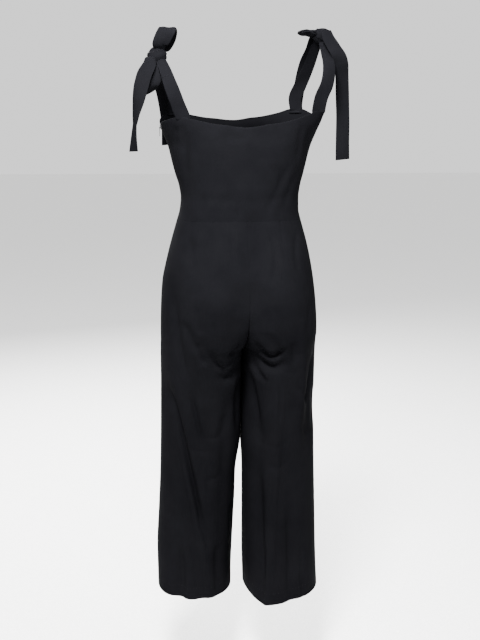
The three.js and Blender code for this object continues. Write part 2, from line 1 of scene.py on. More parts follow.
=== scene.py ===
import math
import bpy
import numpy as np
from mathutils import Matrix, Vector


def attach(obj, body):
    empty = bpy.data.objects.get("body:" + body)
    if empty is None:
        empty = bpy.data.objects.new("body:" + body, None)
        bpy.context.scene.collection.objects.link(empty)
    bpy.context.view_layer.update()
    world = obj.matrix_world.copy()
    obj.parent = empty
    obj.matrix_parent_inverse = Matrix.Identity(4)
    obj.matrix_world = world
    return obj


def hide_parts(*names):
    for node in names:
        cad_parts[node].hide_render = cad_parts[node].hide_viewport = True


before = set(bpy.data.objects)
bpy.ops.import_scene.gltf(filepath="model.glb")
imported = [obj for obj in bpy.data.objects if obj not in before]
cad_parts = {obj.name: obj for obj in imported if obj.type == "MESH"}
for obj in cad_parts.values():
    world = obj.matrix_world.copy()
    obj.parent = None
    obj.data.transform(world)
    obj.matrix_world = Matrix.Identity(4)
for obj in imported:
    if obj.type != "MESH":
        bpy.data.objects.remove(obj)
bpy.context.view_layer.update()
mm = 0.001  # the garment's own sizes below are in millimetres
print("frame loaded")


# Tables and smooth reading between their rows

def readTable(text):
    names, *rows = [line.split() for line in text.strip().splitlines()]
    return {name: np.array([float(row[i]) for row in rows]) for i, name in enumerate(names)}


def slopesOf(keys, values):
    # flat where a column turns back, so that nothing overshoots
    steps = np.diff(values) / np.diff(keys)
    inner = np.zeros(len(keys) - 2)
    same = steps[:-1] * steps[1:] > 0
    inner[same] = (2 * steps[:-1] * steps[1:])[same] / (steps[:-1] + steps[1:])[same]
    return np.concatenate([[steps[0]], inner, [steps[-1]]])


def between(table, key, name, at):
    keys, values = table[key], table[name]
    slopes = slopesOf(keys, values)
    if keys[-1] < keys[0]:
        keys, values, slopes = keys[::-1], values[::-1], slopes[::-1]
    i = np.clip(np.searchsorted(keys, at, side="right") - 1, 0, len(keys) - 2)
    span = keys[i + 1] - keys[i]
    t = np.clip((at - keys[i]) / span, 0, 1)
    a, b = slopes[i] * span, slopes[i + 1] * span
    change = values[i + 1] - values[i]
    return values[i] + t * a + t**2 * (3 * change - 2 * a - b) + t**3 * (a + b - 2 * change)


def smoothStep(value):
    t = np.clip(value, 0, 1)
    return t * t * (3 - 2 * t)


def unit(vectors):
    return vectors / np.maximum(np.linalg.norm(vectors, axis=-1, keepdims=True), 1e-9)


# Finishes

def nodeOf(tree, kind, **values):
    node = tree.nodes.new(kind)
    for name, value in values.items():
        if hasattr(node, name):
            setattr(node, name, value)
        else:
            node.inputs[name.replace("_", " ")].default_value = value
    return node


def wired(tree, kind, sources, **values):
    # a new node with other nodes' outputs led into its inputs
    node = nodeOf(tree, kind, **values)
    for name, source in sources.items():
        tree.links.new(source, node.inputs[name])
    return node


def noiseOf(tree, scale, detail, rough=0.5):
    place = nodeOf(tree, "ShaderNodeTexCoord").outputs["Object"]
    noise = wired(tree, "ShaderNodeTexNoise", {"Vector": place}, Scale=scale, Detail=detail, Roughness=rough)
    return noise.outputs["Fac"]


def newFinish(name):
    mat = bpy.data.materials.new(name)
    mat.use_nodes = True
    return mat, mat.node_tree, mat.node_tree.nodes["Principled BSDF"]


def paint(tree, shader, share, colors):
    dark, pale = ((*color, 1) for color in colors)
    tone = wired(tree, "ShaderNodeMix", {"Factor": share}, data_type="RGBA", A=dark, B=pale)
    tree.links.new(tone.outputs["Result"], shader.inputs["Base Color"])


def varyGloss(tree, shader, share, low, high):
    gloss = wired(tree, "ShaderNodeMapRange", {"Value": share}, To_Min=low, To_Max=high)
    tree.links.new(gloss.outputs[0], shader.inputs["Roughness"])


crepe = dict(
    color=(0.0022, 0.0022, 0.0027), paler=(0.0035, 0.0035, 0.0042), rough=0.8, smoother=0.07, rougher=0.08,
    specular=0.004, pebble=620, pebbleDepth=0.00016, yarn=2300, yarnDepth=0.00005,
    patch=9, fleckShare=0.45, paleFrom=0.5, paleTo=0.95,
)


def makeCrepe():
    mat, tree, shader = newFinish("blackCrepe")
    shader.inputs["Specular IOR Level"].default_value = crepe["specular"]
    fleck = noiseOf(tree, crepe["pebble"], 2)
    patch = noiseOf(tree, crepe["patch"], 4, 0.6)
    both = wired(tree, "ShaderNodeMath", {0: fleck, 2: patch}, operation="MULTIPLY_ADD")
    both.inputs[1].default_value = crepe["fleckShare"]
    spread = wired(tree, "ShaderNodeMapRange", {"Value": both.outputs[0]},
                   From_Min=crepe["paleFrom"], From_Max=crepe["paleTo"])
    paint(tree, shader, spread.outputs[0], (crepe["color"], crepe["paler"]))
    varyGloss(tree, shader, fleck, crepe["rough"] - crepe["smoother"], crepe["rough"] + crepe["rougher"])

    # crepe's pebbled face, then the twisted yarns on it
    heights = {"Height": noiseOf(tree, crepe["pebble"], 3, 0.6)}
    pebble = wired(tree, "ShaderNodeBump", heights, Strength=0.55, Distance=crepe["pebbleDepth"])
    heights = {"Height": noiseOf(tree, crepe["yarn"], 1), "Normal": pebble.outputs["Normal"]}
    yarn = wired(tree, "ShaderNodeBump", heights, Strength=0.5, Distance=crepe["yarnDepth"])
    tree.links.new(yarn.outputs["Normal"], shader.inputs["Normal"])
    return mat


plain = dict(darker=0.8, paler=1.25, glossChange=0.06, bumpScale=300, bumpDepth=0.0001)


def makePlain(name, color, rough, metal=0.0, coat=0.0, bumpScale=plain["bumpScale"],
              bumpDepth=plain["bumpDepth"]):
    mat, tree, shader = newFinish(name)
    shader.inputs["Metallic"].default_value = metal
    shader.inputs["Coat Weight"].default_value = coat
    speck = noiseOf(tree, bumpScale, 3)
    paint(tree, shader, speck, [[c * plain[tone] for c in color] for tone in ("darker", "paler")])
    varyGloss(tree, shader, speck, rough - plain["glossChange"], rough + plain["glossChange"])
    bump = wired(tree, "ShaderNodeBump", {"Height": speck}, Strength=0.5, Distance=bumpDepth)
    tree.links.new(bump.outputs["Normal"], shader.inputs["Normal"])
    return mat


crepeMat = makeCrepe()
threadMat = makePlain("blackThread", (0.0062, 0.0062, 0.007), 0.7, bumpScale=2600, bumpDepth=0.00004)
tapeMat = makePlain("zipTape", (0.0035, 0.0035, 0.004), 0.8, bumpScale=1500, bumpDepth=0.00012)
enamelMat = makePlain("zipEnamel", (0.005, 0.005, 0.0056), 0.42, metal=0.2, bumpScale=500, bumpDepth=0.00001,
                      coat=0.15)
print("finishes made")


# Meshes

def objectOf(name, data):
    made = bpy.data.objects.new(name, data)
    bpy.context.collection.objects.link(made)
    return made


def clothPiece(name, points, faces):
    mesh = bpy.data.meshes.new(name)
    mesh.from_pydata((np.asarray(points) * mm).tolist(), [], faces)
    mesh.materials.append(crepeMat)
    mesh.shade_smooth()
    mesh.update()
    piece = objectOf(name, mesh)
    return piece


def ringFaces(at):
    # the faces between closed rings of points, one row of numbers for each ring
    ahead = np.roll(at, -1, axis=1)
    return np.stack([at[:-1], at[1:], ahead[1:], ahead[:-1]], -1).reshape(-1, 4).tolist()


def lengthAlong(line):
    return np.concatenate([[0], np.cumsum(np.linalg.norm(np.diff(line, axis=0), axis=1))])


def pointsAt(at, length, line):
    return np.stack([np.interp(at, length, line[:, k]) for k in range(3)], -1)


def closedWall(outer, rim, inner):
    # grids of points for the outer face, the middle of the edges and the inner face
    rows, columns, _ = outer.shape
    points = np.concatenate([grid.reshape(-1, 3) for grid in (outer, inner)])
    at = np.arange(rows * columns).reshape(rows, columns)
    a, b, c, d = at[:-1, :-1], at[:-1, 1:], at[1:, 1:], at[1:, :-1]
    faces = np.stack([a, b, c, d], -1).reshape(-1, 4)
    under = faces[:, ::-1] + rows * columns
    loop = np.concatenate([at[0, :], at[1:, -1], at[-1, -2::-1], at[-2:0:-1, 0]])
    mid = len(points) + np.arange(len(loop))
    points = np.concatenate([points, rim.reshape(-1, 3)[loop]])
    nextLoop, nextMid = np.roll(loop, -1), np.roll(mid, -1)
    upper = np.stack([loop, mid, nextMid, nextLoop], -1)
    lower = np.stack([mid, loop + rows * columns, nextLoop + rows * columns, nextMid], -1)
    return points, np.concatenate([faces, under, upper, lower])


def signedVolume(points, faces):
    a, b, c, d = (points[faces[:, i]] for i in range(4))
    first = np.einsum("ij,ij->i", a, np.cross(b, c)).sum()
    return first + np.einsum("ij,ij->i", a, np.cross(c, d)).sum()


def wallPiece(name, outer, rim, inner):
    points, faces = closedWall(outer, rim, inner)
    if signedVolume(points, faces) < 0:
        faces = faces[:, ::-1]
    return clothPiece(name, points, faces.tolist())


def gridNormals(grid, faceY):
    across = np.gradient(grid, axis=1)
    down = np.gradient(grid, axis=0)
    normals = unit(np.cross(across, down))
    middle = normals[normals.shape[0] // 2, normals.shape[1] // 2]
    return normals * np.sign(middle[1]) * np.sign(faceY)


# The torso and leg forms: the solids', with a few millimetres' change at the hips, sides and inner legs

torso = dict(
    rings=readTable("""
       z  left right side back front square
    -362   140   136   -4   89  -103   2.15
    -334   132   130   -5   86   -99   2.15
    -310 129.5   130   -6   84   -98   2.15
    -284   133 133.5   -6   84  -102   2.15
    -256 141.5   141   -7   86  -110   2.15
    -230   148 147.5   -8   89  -118   2.15
    -200   155 155.5  -10   91  -118    2.2
    -170   166   168  -14   90  -108    2.4
    -145   172   177  -18   86   -98    2.7
    -105   174   180  -24   80   -90    2.9
    """),
    flat=40, curvedShare=0.78, waist=-357,
    cup=dict(x=74, z=-222, rise=17, wide=46, high=44),
    corner=dict(share=0.87, z=-122, out=9, back=6, wide=0.06, high=26),  # the right back strap pulls it out
)
bodiceTop = dict(
    back=readTable("""
    share      z
        0   -153
      0.1   -149
     0.19 -144.5
     0.23   -144
     0.28   -149
     0.35   -157
     0.43   -163
      0.5 -164.5
     0.57 -161.5
     0.64   -155
     0.71   -145
     0.78   -134
     0.82   -128
     0.86   -128
     0.93   -132
        1   -138
    """),
    front=readTable("""
    share    z
        0 -153
      0.1 -137
      0.2 -124
     0.25 -124
     0.31 -130
      0.4 -138
      0.5 -141
      0.6 -136
     0.69 -125
     0.76 -116
     0.81 -116
      0.9 -125
        1 -138
    """),
)
legs = dict(
    left=dict(side=1, rings=readTable("""
         z outer side backX back frontX front inner innerBack innerFront tuck
      -357 138.5   -4    40   88     40  -102     0        88       -102    0
      -398   151   -2    46  104     42  -110     0       101       -109    0
      -440 162.5    0    54  118     46  -115     0       114       -113    0
      -492   174    2    62  131     52  -116     0       124       -114    0
      -542   178    3    68  137     58  -114     0       124       -110  0.1
      -582 179.5    2    73  136     64  -112     0       113       -100  0.4
      -610   180    0    78  131     69  -111     0        90        -78 0.75
      -628   180   -1    81  126     73  -110     0        60        -44 0.95
    -634.5 180.5   -1    82  124     74  -110     0        38        -16    1
      -637 180.5   -1    83  123     75  -110     0        14         14    1
      -660   181   -2    87  116     80  -109   0.1        13         13    1
      -700   181   -5    92  106     87  -109   0.1        12         12    1
      -770   182   -9    97   93     93  -109   0.3         9          9    1
      -850 183.5  -13    99   82     96  -108   1.2         3          3    1
      -940   186  -18   100   72     98  -108    11       -10        -10    1
     -1040   191  -24   103   65    101  -111  12.5       -21        -21    1
     -1140   196  -30   107   59    104  -115    16       -27        -27    1
     -1238   195  -34   108   57    106  -119    20       -31        -31    1
    """)),
    right=dict(side=-1, rings=readTable("""
         z outer side backX back frontX front inner innerBack innerFront tuck
      -357 134.5   -4    40   88     40  -102     0        88       -102    0
      -398   146   -2    46  104     42  -110     0       101       -109    0
      -440   155    0    54  118     46  -115     0       114       -113    0
      -492   163    2    62  131     52  -116     0       124       -114    0
      -542   168    4    66  138     58  -114     0       124       -110  0.1
      -582 170.5    5    70  138     64  -111     0       113       -100  0.4
      -610   171    5    73  135     69  -109     0        90        -78 0.75
      -628   171    5    75  131     73  -108     0        60        -44 0.95
    -634.5   171    5    76  129     74  -107     0        38        -16    1
      -637   171    5    76  128     74  -107     0        14         14    1
      -660   171    5    77  124     77  -106   0.1        12         12    1
      -700   171    5    76  116     80  -104   0.1         9          9    1
      -770 170.5    5    73  107     83  -101   0.2         5          5    1
      -850   172    5    68  102     85   -98   0.8         3          3    1
      -940   175    4    62  100     87   -95   4.6         3          3    1
     -1040 178.5    4    55  102     88   -92   4.8         2          2    1
     -1140   182    3    49  107     90   -90   5.4        -4         -4    1
     -1238   187    2    44  111     91   -88     9       -10        -10    1
    """)),
)
legForm = dict(square=2.1, outerShare=0.6, edgeFade=0.14)


def torsoPoints(face, share, z):
    rings = torso["rings"]
    value = {name: between(rings, "z", name, z) for name in rings}
    half = np.where(share < 0.5, value["left"], value["right"])
    inwards = 1 - np.abs(2 * share - 1)
    angle = np.minimum(inwards / torso["curvedShare"], 1) * (math.pi / 2)
    flat = np.maximum(inwards - torso["curvedShare"], 0) / (1 - torso["curvedShare"])
    power = 2 / value["square"]
    x = torso["flat"] * (1 - flat) + (half - torso["flat"]) * np.maximum(np.cos(angle), 0) ** power
    y = value["side"] + (value[face] - value["side"]) * np.sin(angle) ** power
    if face == "front":
        cup = torso["cup"]
        y = y - np.sin(angle) * cup["rise"] * np.exp(-((x - cup["x"]) / cup["wide"]) ** 2
                                                    - ((z - cup["z"]) / cup["high"]) ** 2)
    else:
        pull = torso["corner"]
        bulge = np.exp(-((share - pull["share"]) / pull["wide"]) ** 2 - ((z - pull["z"]) / pull["high"]) ** 2)
        x = x + pull["out"] * bulge
        y = y + pull["back"] * bulge
    return np.stack([np.where(share < 0.5, x, -x), y, z], -1)


def legRingPoints(leg, face, share, z):
    value = {name: between(leg["rings"], "z", name, z) for name in leg["rings"]}
    peakX, depth = value[face + "X"], value[face]
    innerY = value["innerBack" if face == "back" else "innerFront"]
    power, split = 2 / legForm["square"], legForm["outerShare"]
    angle = np.clip(share / split, 0, 1) * (math.pi / 2)
    outerX = peakX + (value["outer"] - peakX) * np.maximum(np.cos(angle), 0) ** power
    outerY = value["side"] + (depth - value["side"]) * np.sin(angle) ** power
    angle = np.clip((share - split) / (1 - split), 0, 1) * (math.pi / 2)
    inwards = np.sin(angle) ** power
    straight = 0.5 + 0.5 * np.cos(math.pi * inwards)
    turned = np.maximum(np.cos(angle), 0) ** power
    innerX = peakX - (peakX - value["inner"]) * inwards
    innerSide = innerY + (depth - innerY) * (straight + (turned - straight) * value["tuck"])
    isOuter = share < split
    x, y = np.where(isOuter, outerX, innerX), np.where(isOuter, outerY, innerSide)
    return np.stack([leg["side"] * x, y, z], -1)


# Folds

mainFolds = dict(
    back=readTable("""
    topX  topZ endX  endZ  rise width
     181  -680   90 -1300 -11.2    15
     168  -760   70 -1290   7.5    20
     160  -470  100  -900  -6.2    18
     112  -590   60  -700  -5.0    12
     150 -1010  160 -1420 -10.0    16
      46  -700   52 -1100  -5.0    15
     -24  -650  -22 -1330  -8.8    15
    -158  -610 -138  -900  -7.5    16
    -116  -560 -122  -900   5.0    18
     -68  -690  -62  -960   5.0    12
     -96  -900 -112 -1420  -7.5    17
     -40  -590  -90  -690  -5.0    12
    """),
    front=readTable("""
    topX topZ endX  endZ  rise width
      30 -560  120  -760  -5.0    14
     -28 -560 -112  -740  -5.0    14
      96 -620  104 -1420   7.5    22
     144 -700  150 -1380 -10.0    17
      54 -740   60 -1360  -8.8    16
     -90 -620  -92 -1420   7.5    22
    -138 -720 -142 -1380 -10.0    17
     -48 -700  -46 -1360  -8.8    16
    """),
)
# Soft creases on top of them: start, middle and end of each, its height and half width
creases = dict(
    trouserBack=readTable("""
      x0    z0   x1    z1   x2    z2  rise width
      12  -606   26  -631   46  -638  -9.8     5
      14  -636   44  -664   76  -650  -5.6     6
      10  -652   30  -686   52  -698  -4.5     6
      81  -622   66  -662   30  -683  -6.3   5.5
     116  -600  108  -634   92  -664  -5.6   5.5
     -10  -604  -44  -646  -82  -618  -9.8   5.5
     -10  -632  -34  -664  -64  -668  -6.3   5.5
      -8  -650  -24  -690  -46  -706  -5.6   5.5
     -88  -604  -96  -640  -90  -676  -3.6     8
      -5  -676  -13  -745  -23  -816  -8.4     6
       6  -690   15  -760   13  -850  -6.3     7
     179  -694  128  -905   81 -1146 -17.0   6.5
       4  -650   34  -694   68  -674  -7.5    12
      -4  -642  -46  -670  -92  -652  -7.5    12
      -6  -700  -14  -790  -40  -860  -4.0    12
      12  -700   40  -790   62  -850  -3.0    14
     161  -736  102  -926   62 -1146   2.0    11
     160  -480  152  -610  130  -712  -5.0     7
     130  -716  110  -796   93  -872  -6.3     6
    -160  -640 -147  -706 -133  -776  -6.3     7
    -161  -728 -164  -786 -161  -844  -4.2     6
     -67  -690  -70  -756  -68  -824  -3.6   3.6
    -112  -590 -120  -700 -121  -816   3.4     9
     -10  -872  -26 -1060  -22 -1240  -9.0    14
      94  -880   97 -1040   95 -1236   2.7   4.0
     -70  -830  -62 -1040  -52 -1236   2.8   4.0
      98  -824   76  -836   48  -830  -1.5     5
     130  -846  104  -866   72  -860  -1.3     6
      92  -928   74  -936   54  -930  -1.3     5
     140  -905  122  -930  110  -962  -1.3     7
     -12  -842  -54  -856  -98  -846  -1.4     6
     -34  -896  -66  -906  -96  -892  -1.1     6
    -120  -800 -138  -830 -158  -842  -3.1     7
    -100  -700 -126  -742 -148  -760  -3.4     8
     150  -560  128  -596  118  -640  -3.4     9
    -146  -520 -134  -560 -128  -610  -3.1     9
     118  -520  112  -560  104  -600  -2.5     8
     128  -372  118  -420  126  -470  -2.5     7
    -118  -372 -104  -420 -110  -470  -2.2     7
     -40  -360  -56  -430  -40  -489  -2.0     7
      30  -372   34  -410   30  -450  -1.4     8
     150 -1100  146 -1180  150 -1260  -4.8     8
      60 -1090   64 -1170   62 -1260  -5.3     9
      24 -1000   22 -1100   24 -1240  -3.6     8
    -130 -1090 -132 -1170 -136 -1260  -4.5     8
     -34 -1080  -30 -1170  -28 -1260  -4.8     8
     -96 -1000 -100 -1110  -98 -1240  -3.4     8
    """),
    trouserFront=readTable("""
      x0    z0   x1    z1   x2    z2 rise width
      12  -606   46  -590   92  -562 -4.2     8
      10  -622   50  -622  104  -600 -3.6     8
     -12  -606  -44  -592  -90  -566 -4.2     8
     -10  -624  -52  -624 -106  -604 -3.4     8
     100  -560   98  -900  104 -1236  2.7   4.5
     -92  -560  -90  -900  -92 -1236  2.7   4.5
     140  -820  110  -842   66  -836 -2.8     8
     128  -880   98  -892   60  -884 -2.2     7
    -134  -826 -104  -848  -60  -838 -2.8     8
    -126  -890  -98  -900  -56  -894 -2.2     7
     120  -372  104  -430  108  -490 -2.2     9
    -116  -372 -100  -430 -104  -490 -2.2     9
      40  -380   36  -430   40  -480 -1.4     9
     -38  -380  -36  -430  -38  -480 -1.4     9
      60  -650   86  -700  110  -740 -3.1    10
     -56  -650  -84  -700 -108  -740 -3.1    10
     168 -1090  170 -1170  172 -1260 -4.2     9
      62 -1100   60 -1180   64 -1260 -4.2     9
    -160 -1090 -162 -1170 -164 -1260 -4.2     9
     -60 -1100  -58 -1180  -60 -1260 -4.2     9
    """),
    bodiceBack=readTable("""
      x0   z0   x1   z1   x2   z2  rise width
     142 -158  146 -182  143 -212  -3.5     6
     123 -153  125 -215  120 -292  -3.5     7
     131 -150  133 -184  130 -222  -2.4     5
     -98 -226  -66 -292  -34 -356  -2.1     8
    -124 -240  -96 -292  -74 -350  -1.4     8
    -140 -160 -136 -196 -138 -232  -2.6     7
    -118 -150 -116 -190 -110 -240  -2.2     8
     112 -296   66 -312   16 -306 -0.84     8
    -114 -294  -70 -308  -26 -302 -0.76     8
      96 -328   44 -336  -14 -330 -0.64     7
      60 -180   30 -186  -10 -182  -1.3     8
     100 -350   92 -326   96 -302  -1.9     7
      20 -352   16 -330   22 -310  -1.4     7
    """),
    bodiceFront=readTable("""
      x0   z0   x1   z1   x2   z2 rise width
      60 -262   74 -272   92 -264 -2.8     9
     -60 -262  -74 -272  -92 -264 -2.8     9
      14 -200    0 -214  -16 -202 -2.8    10
     110 -298   66 -312   18 -306 -1.8     8
    -110 -296  -68 -310  -22 -304 -1.8     8
     128 -170  118 -196  116 -222 -2.2     8
    -130 -166 -120 -192 -116 -222 -2.2     8
      92 -352   84 -330   90 -306 -1.7     7
     -90 -352  -84 -332  -92 -306 -1.7     7
    """),
)
# Sewn darts: narrow lines from the waist seam
darts = dict(
    trouserBack=readTable("""
     x0   z0  x1   z1  x2   z2 rise width
     72 -357  74 -410  78 -462 -0.9   1.6
    -72 -357 -74 -410 -77 -462 -0.9   1.6
    """),
    trouserFront=readTable("""
     x0   z0  x1   z1  x2   z2 rise width
     76 -357  78 -390  80 -424 -0.9   1.6
    -75 -357 -77 -390 -79 -424 -0.9   1.6
    """),
    bodiceBack=readTable("""
     x0   z0  x1   z1  x2   z2 rise width
     72 -357  71 -300  74 -236 -0.9   1.6
    -72 -357 -71 -300 -74 -236 -0.9   1.6
    """),
    bodiceFront=readTable("""
      x0   z0   x1   z1  x2   z2 rise width
      76 -357   74 -300  74 -250 -0.9   1.6
     -76 -357  -74 -300 -74 -250 -0.9   1.6
     140 -252  116 -240  94 -228 -0.9   1.6
    -138 -252 -114 -240 -94 -228 -0.9   1.6
    """),
)


def mainRise(table, x, z):
    rise = np.zeros_like(x)
    for i in range(len(table["rise"])):
        topX, topZ, endX, endZ = (table[name][i] for name in ("topX", "topZ", "endX", "endZ"))
        along = (z - topZ) / (endZ - topZ)
        aside = (x - topX - (endX - topX) * along) / table["width"][i]
        inside = (along > 0) & (along < 1) & (topX * x > 0)
        bell = np.sin(math.pi * np.clip(along, 0, 1)) ** 0.7
        rise += np.where(inside, table["rise"][i] * np.exp(-aside**2) * bell, 0)
    return rise


def creaseRise(table, x, z, sharpEnds=False):
    # height of curved creases, each a bent line that fades at both ends
    rise = np.zeros_like(x)
    steps = np.linspace(0, 1, 25)
    for i in range(len(table["rise"])):
        p = [np.array([table[f"x{k}"][i], table[f"z{k}"][i]]) for k in range(3)]
        bend = 2 * p[1] - 0.5 * (p[0] + p[2])
        line = np.array([(1 - t) ** 2 * p[0] + 2 * t * (1 - t) * bend + t**2 * p[2] for t in steps])
        width = table["width"][i]
        near = (x > line[:, 0].min() - 4 * width) & (x < line[:, 0].max() + 4 * width)
        near &= (z > line[:, 1].min() - 4 * width) & (z < line[:, 1].max() + 4 * width)
        if not near.any():
            continue
        nearX, nearZ = x[near], z[near]
        best = np.full(nearX.shape, 1e9)
        part = np.zeros(nearX.shape)
        for k in range(len(steps) - 1):
            a, d = line[k], line[k + 1] - line[k]
            t = np.clip(((nearX - a[0]) * d[0] + (nearZ - a[1]) * d[1]) / (d @ d), 0, 1)
            gap = np.hypot(nearX - a[0] - t * d[0], nearZ - a[1] - t * d[1])
            closer = gap < best
            best[closer] = gap[closer]
            part[closer] = (k + t[closer]) / (len(steps) - 1)
        if sharpEnds:
            fade = smoothStep((1 - part) / 0.25)
        else:
            fade = smoothStep(part / 0.3) * smoothStep((1 - part) / 0.3)
        rise[near] += table["rise"][i] * np.exp(-(best / width) ** 2) * fade
    return rise


# Cloth panels

cloth = dict(thick=1.2, hem=28, hemExtra=1.1, hemProud=0.25, topProud=0.35, seamDip=0.25, seamWidth=1.8,
             halfGap=0.03, step=3.9, crotch=-637, creaseFade=0.035, edgeRound=0.35)


def seamShares(girth, step):
    # even shares across a panel, closer together along its two seams
    close = np.array([0, 0.15, 0.8, 1.8, 3.2, 5.2]) / girth
    even = np.linspace(0, 1, round(girth / step) + 1)
    even = even[(even > close[-1] + 0.4 * step / girth) & (even < 1 - close[-1] - 0.4 * step / girth)]
    return np.concatenate([close, even, 1 - close[::-1]])


def finishPanel(name, grid, rise, faceY, thickness, edgeGap, side=0):
    normals = gridNormals(grid, faceY)
    outer = grid + normals * rise[..., None]
    normals = gridNormals(outer, faceY)
    steps = np.linalg.norm(np.diff(outer, axis=1), axis=-1)
    fromLeft = np.concatenate([np.zeros((len(outer), 1)), np.cumsum(steps, 1)], 1)
    toEdge = np.minimum(fromLeft, fromLeft[:, -1:] - fromLeft)
    dip = cloth["seamDip"] * np.exp(-(toEdge / cloth["seamWidth"]) ** 2)
    outer = outer - normals * dip[..., None]
    for column, inwards in ((0, 1), (-1, -2)):
        direction = unit(outer[:, inwards] - outer[:, column])
        outer[:, column] += direction * edgeGap[column][:, None]
    inner = outer - normals * thickness[..., None]
    rim = (outer + inner) / 2
    push = thickness[..., None] * cloth["edgeRound"]
    if not side:
        rim[0] += unit(outer[0] - outer[1]) * push[0]
    else:
        rim[-1] += unit(outer[-1] - outer[-2]) * push[-1]
        # the centre seam is shut above the crotch
        sewn = grid[:, -1, 2] > cloth["crotch"]
        for layer in (outer, inner, rim):
            layer[..., 0] = side * np.maximum(layer[..., 0] * side, cloth["halfGap"])
            layer[:, -1, 0] = np.where(sewn, side * cloth["halfGap"], layer[:, -1, 0])
    return wallPiece(name, outer, rim, inner), outer, normals


def creasesOn(kind, x, z, share):
    toSeam = np.minimum(share, 1 - share)
    rise = creaseRise(creases[kind], x, z) * smoothStep(toSeam / cloth["creaseFade"])
    return rise + creaseRise(darts[kind], x, z, True)


bodice = dict(slotHalf=2.1, slotOpen=13, slotClosed=26, girth=dict(back=360, front=400))


def makeBodice(face):
    girth = bodice["girth"][face]
    shares = seamShares(girth, cloth["step"])
    top = between(bodiceTop[face], "share", "z", shares)
    low = torso["waist"] + cloth["halfGap"]
    down = np.concatenate([[0, 0.4, 1.0, 1.8], np.linspace(3, 97.6, 40), [98.6, 99.4, 99.9, 100]]) / 100
    z = top[None, :] + (low - top)[None, :] * down[:, None]
    share = np.broadcast_to(shares, z.shape)
    grid = torsoPoints(face, share, z)
    rise = creasesOn("bodice" + face.capitalize(), grid[..., 0], z, share)
    rise *= smoothStep((z - low) / 10) * 0.85 + 0.15
    below = top[None, :] - z
    rise += cloth["topProud"] * np.exp(-((below - 3) / 3.5) ** 2)  # the turned top edge
    shut = smoothStep((below[:, 0] - bodice["slotOpen"]) / (bodice["slotClosed"] - bodice["slotOpen"]))
    gap = {0: cloth["halfGap"] + bodice["slotHalf"] * (1 - shut), -1: np.full(len(z), cloth["halfGap"])}
    thickness = np.full(z.shape, cloth["thick"])
    faceY = 1 if face == "back" else -1
    piece, outer, normals = finishPanel("cloth_bodice_" + face, grid, rise, faceY, thickness, gap)
    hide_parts("bodice_" + face)
    return piece, outer, normals


trousers = dict(girth=300, hemStitchUp=26, waistBlend=30)


def makeTrouser(side, face):
    leg = legs[side]
    shares = seamShares(trousers["girth"], cloth["step"])
    topZ, endZ = torso["waist"] - cloth["halfGap"], leg["rings"]["z"][-1]
    # rows of points, closer together at the waist, the crotch and the hem
    heights = np.concatenate([
        topZ - np.array([0, 0.15, 0.8, 1.8, 3.4]),
        np.linspace(topZ - 6, -560, 38),
        np.linspace(-564, -668, 36),
        np.linspace(-673, endZ + cloth["hem"] + 3, 126),
        endZ + np.array([cloth["hem"] + 0.6, cloth["hem"] - 0.6, 22, 16, 10, 5, 2, 0.7, 0]),
    ])
    z = np.broadcast_to(heights[:, None], (len(heights), len(shares)))
    share = np.broadcast_to(shares, z.shape)
    grid = legRingPoints(leg, face, share, z)
    edge = torsoPoints(face, np.linspace(0, 1, 1601), np.full(1601, float(torso["waist"])))
    nearest = np.linalg.norm(edge[None, :, :2] - grid[0][:, None, :2], axis=-1).argmin(1)
    shift = (edge[nearest] - grid[0]) * [1, 1, 0]
    grid = grid + shift[None] * smoothStep(1 - (topZ - z) / trousers["waistBlend"])[..., None]
    edgeFade = smoothStep(np.minimum(share, 1 - share) / legForm["edgeFade"])
    rise = mainRise(mainFolds[face], grid[..., 0], z) * edgeFade
    rise += creasesOn("trouser" + face.capitalize(), grid[..., 0], z, share)
    rise += cloth["hemProud"] * smoothStep((endZ + cloth["hem"] - z) / 2)
    thickness = np.where(z < endZ + cloth["hem"], cloth["thick"] + cloth["hemExtra"], cloth["thick"])
    gap = dict.fromkeys((0, -1), np.full(len(z), cloth["halfGap"]))
    faceY = 1 if face == "back" else -1
    name = f"cloth_trouser_{face}_{side}"
    piece, outer, normals = finishPanel(name, grid, rise, faceY, thickness, gap, leg["side"])
    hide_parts(f"trouser_{face}_{side}")
    return piece, outer, normals


panels = {}
for face in ("back", "front"):
    panels["bodice", face] = makeBodice(face)
    for side in ("left", "right"):
        panels[side, face] = makeTrouser(side, face)
print("panels made")


# Straps, loops and tails

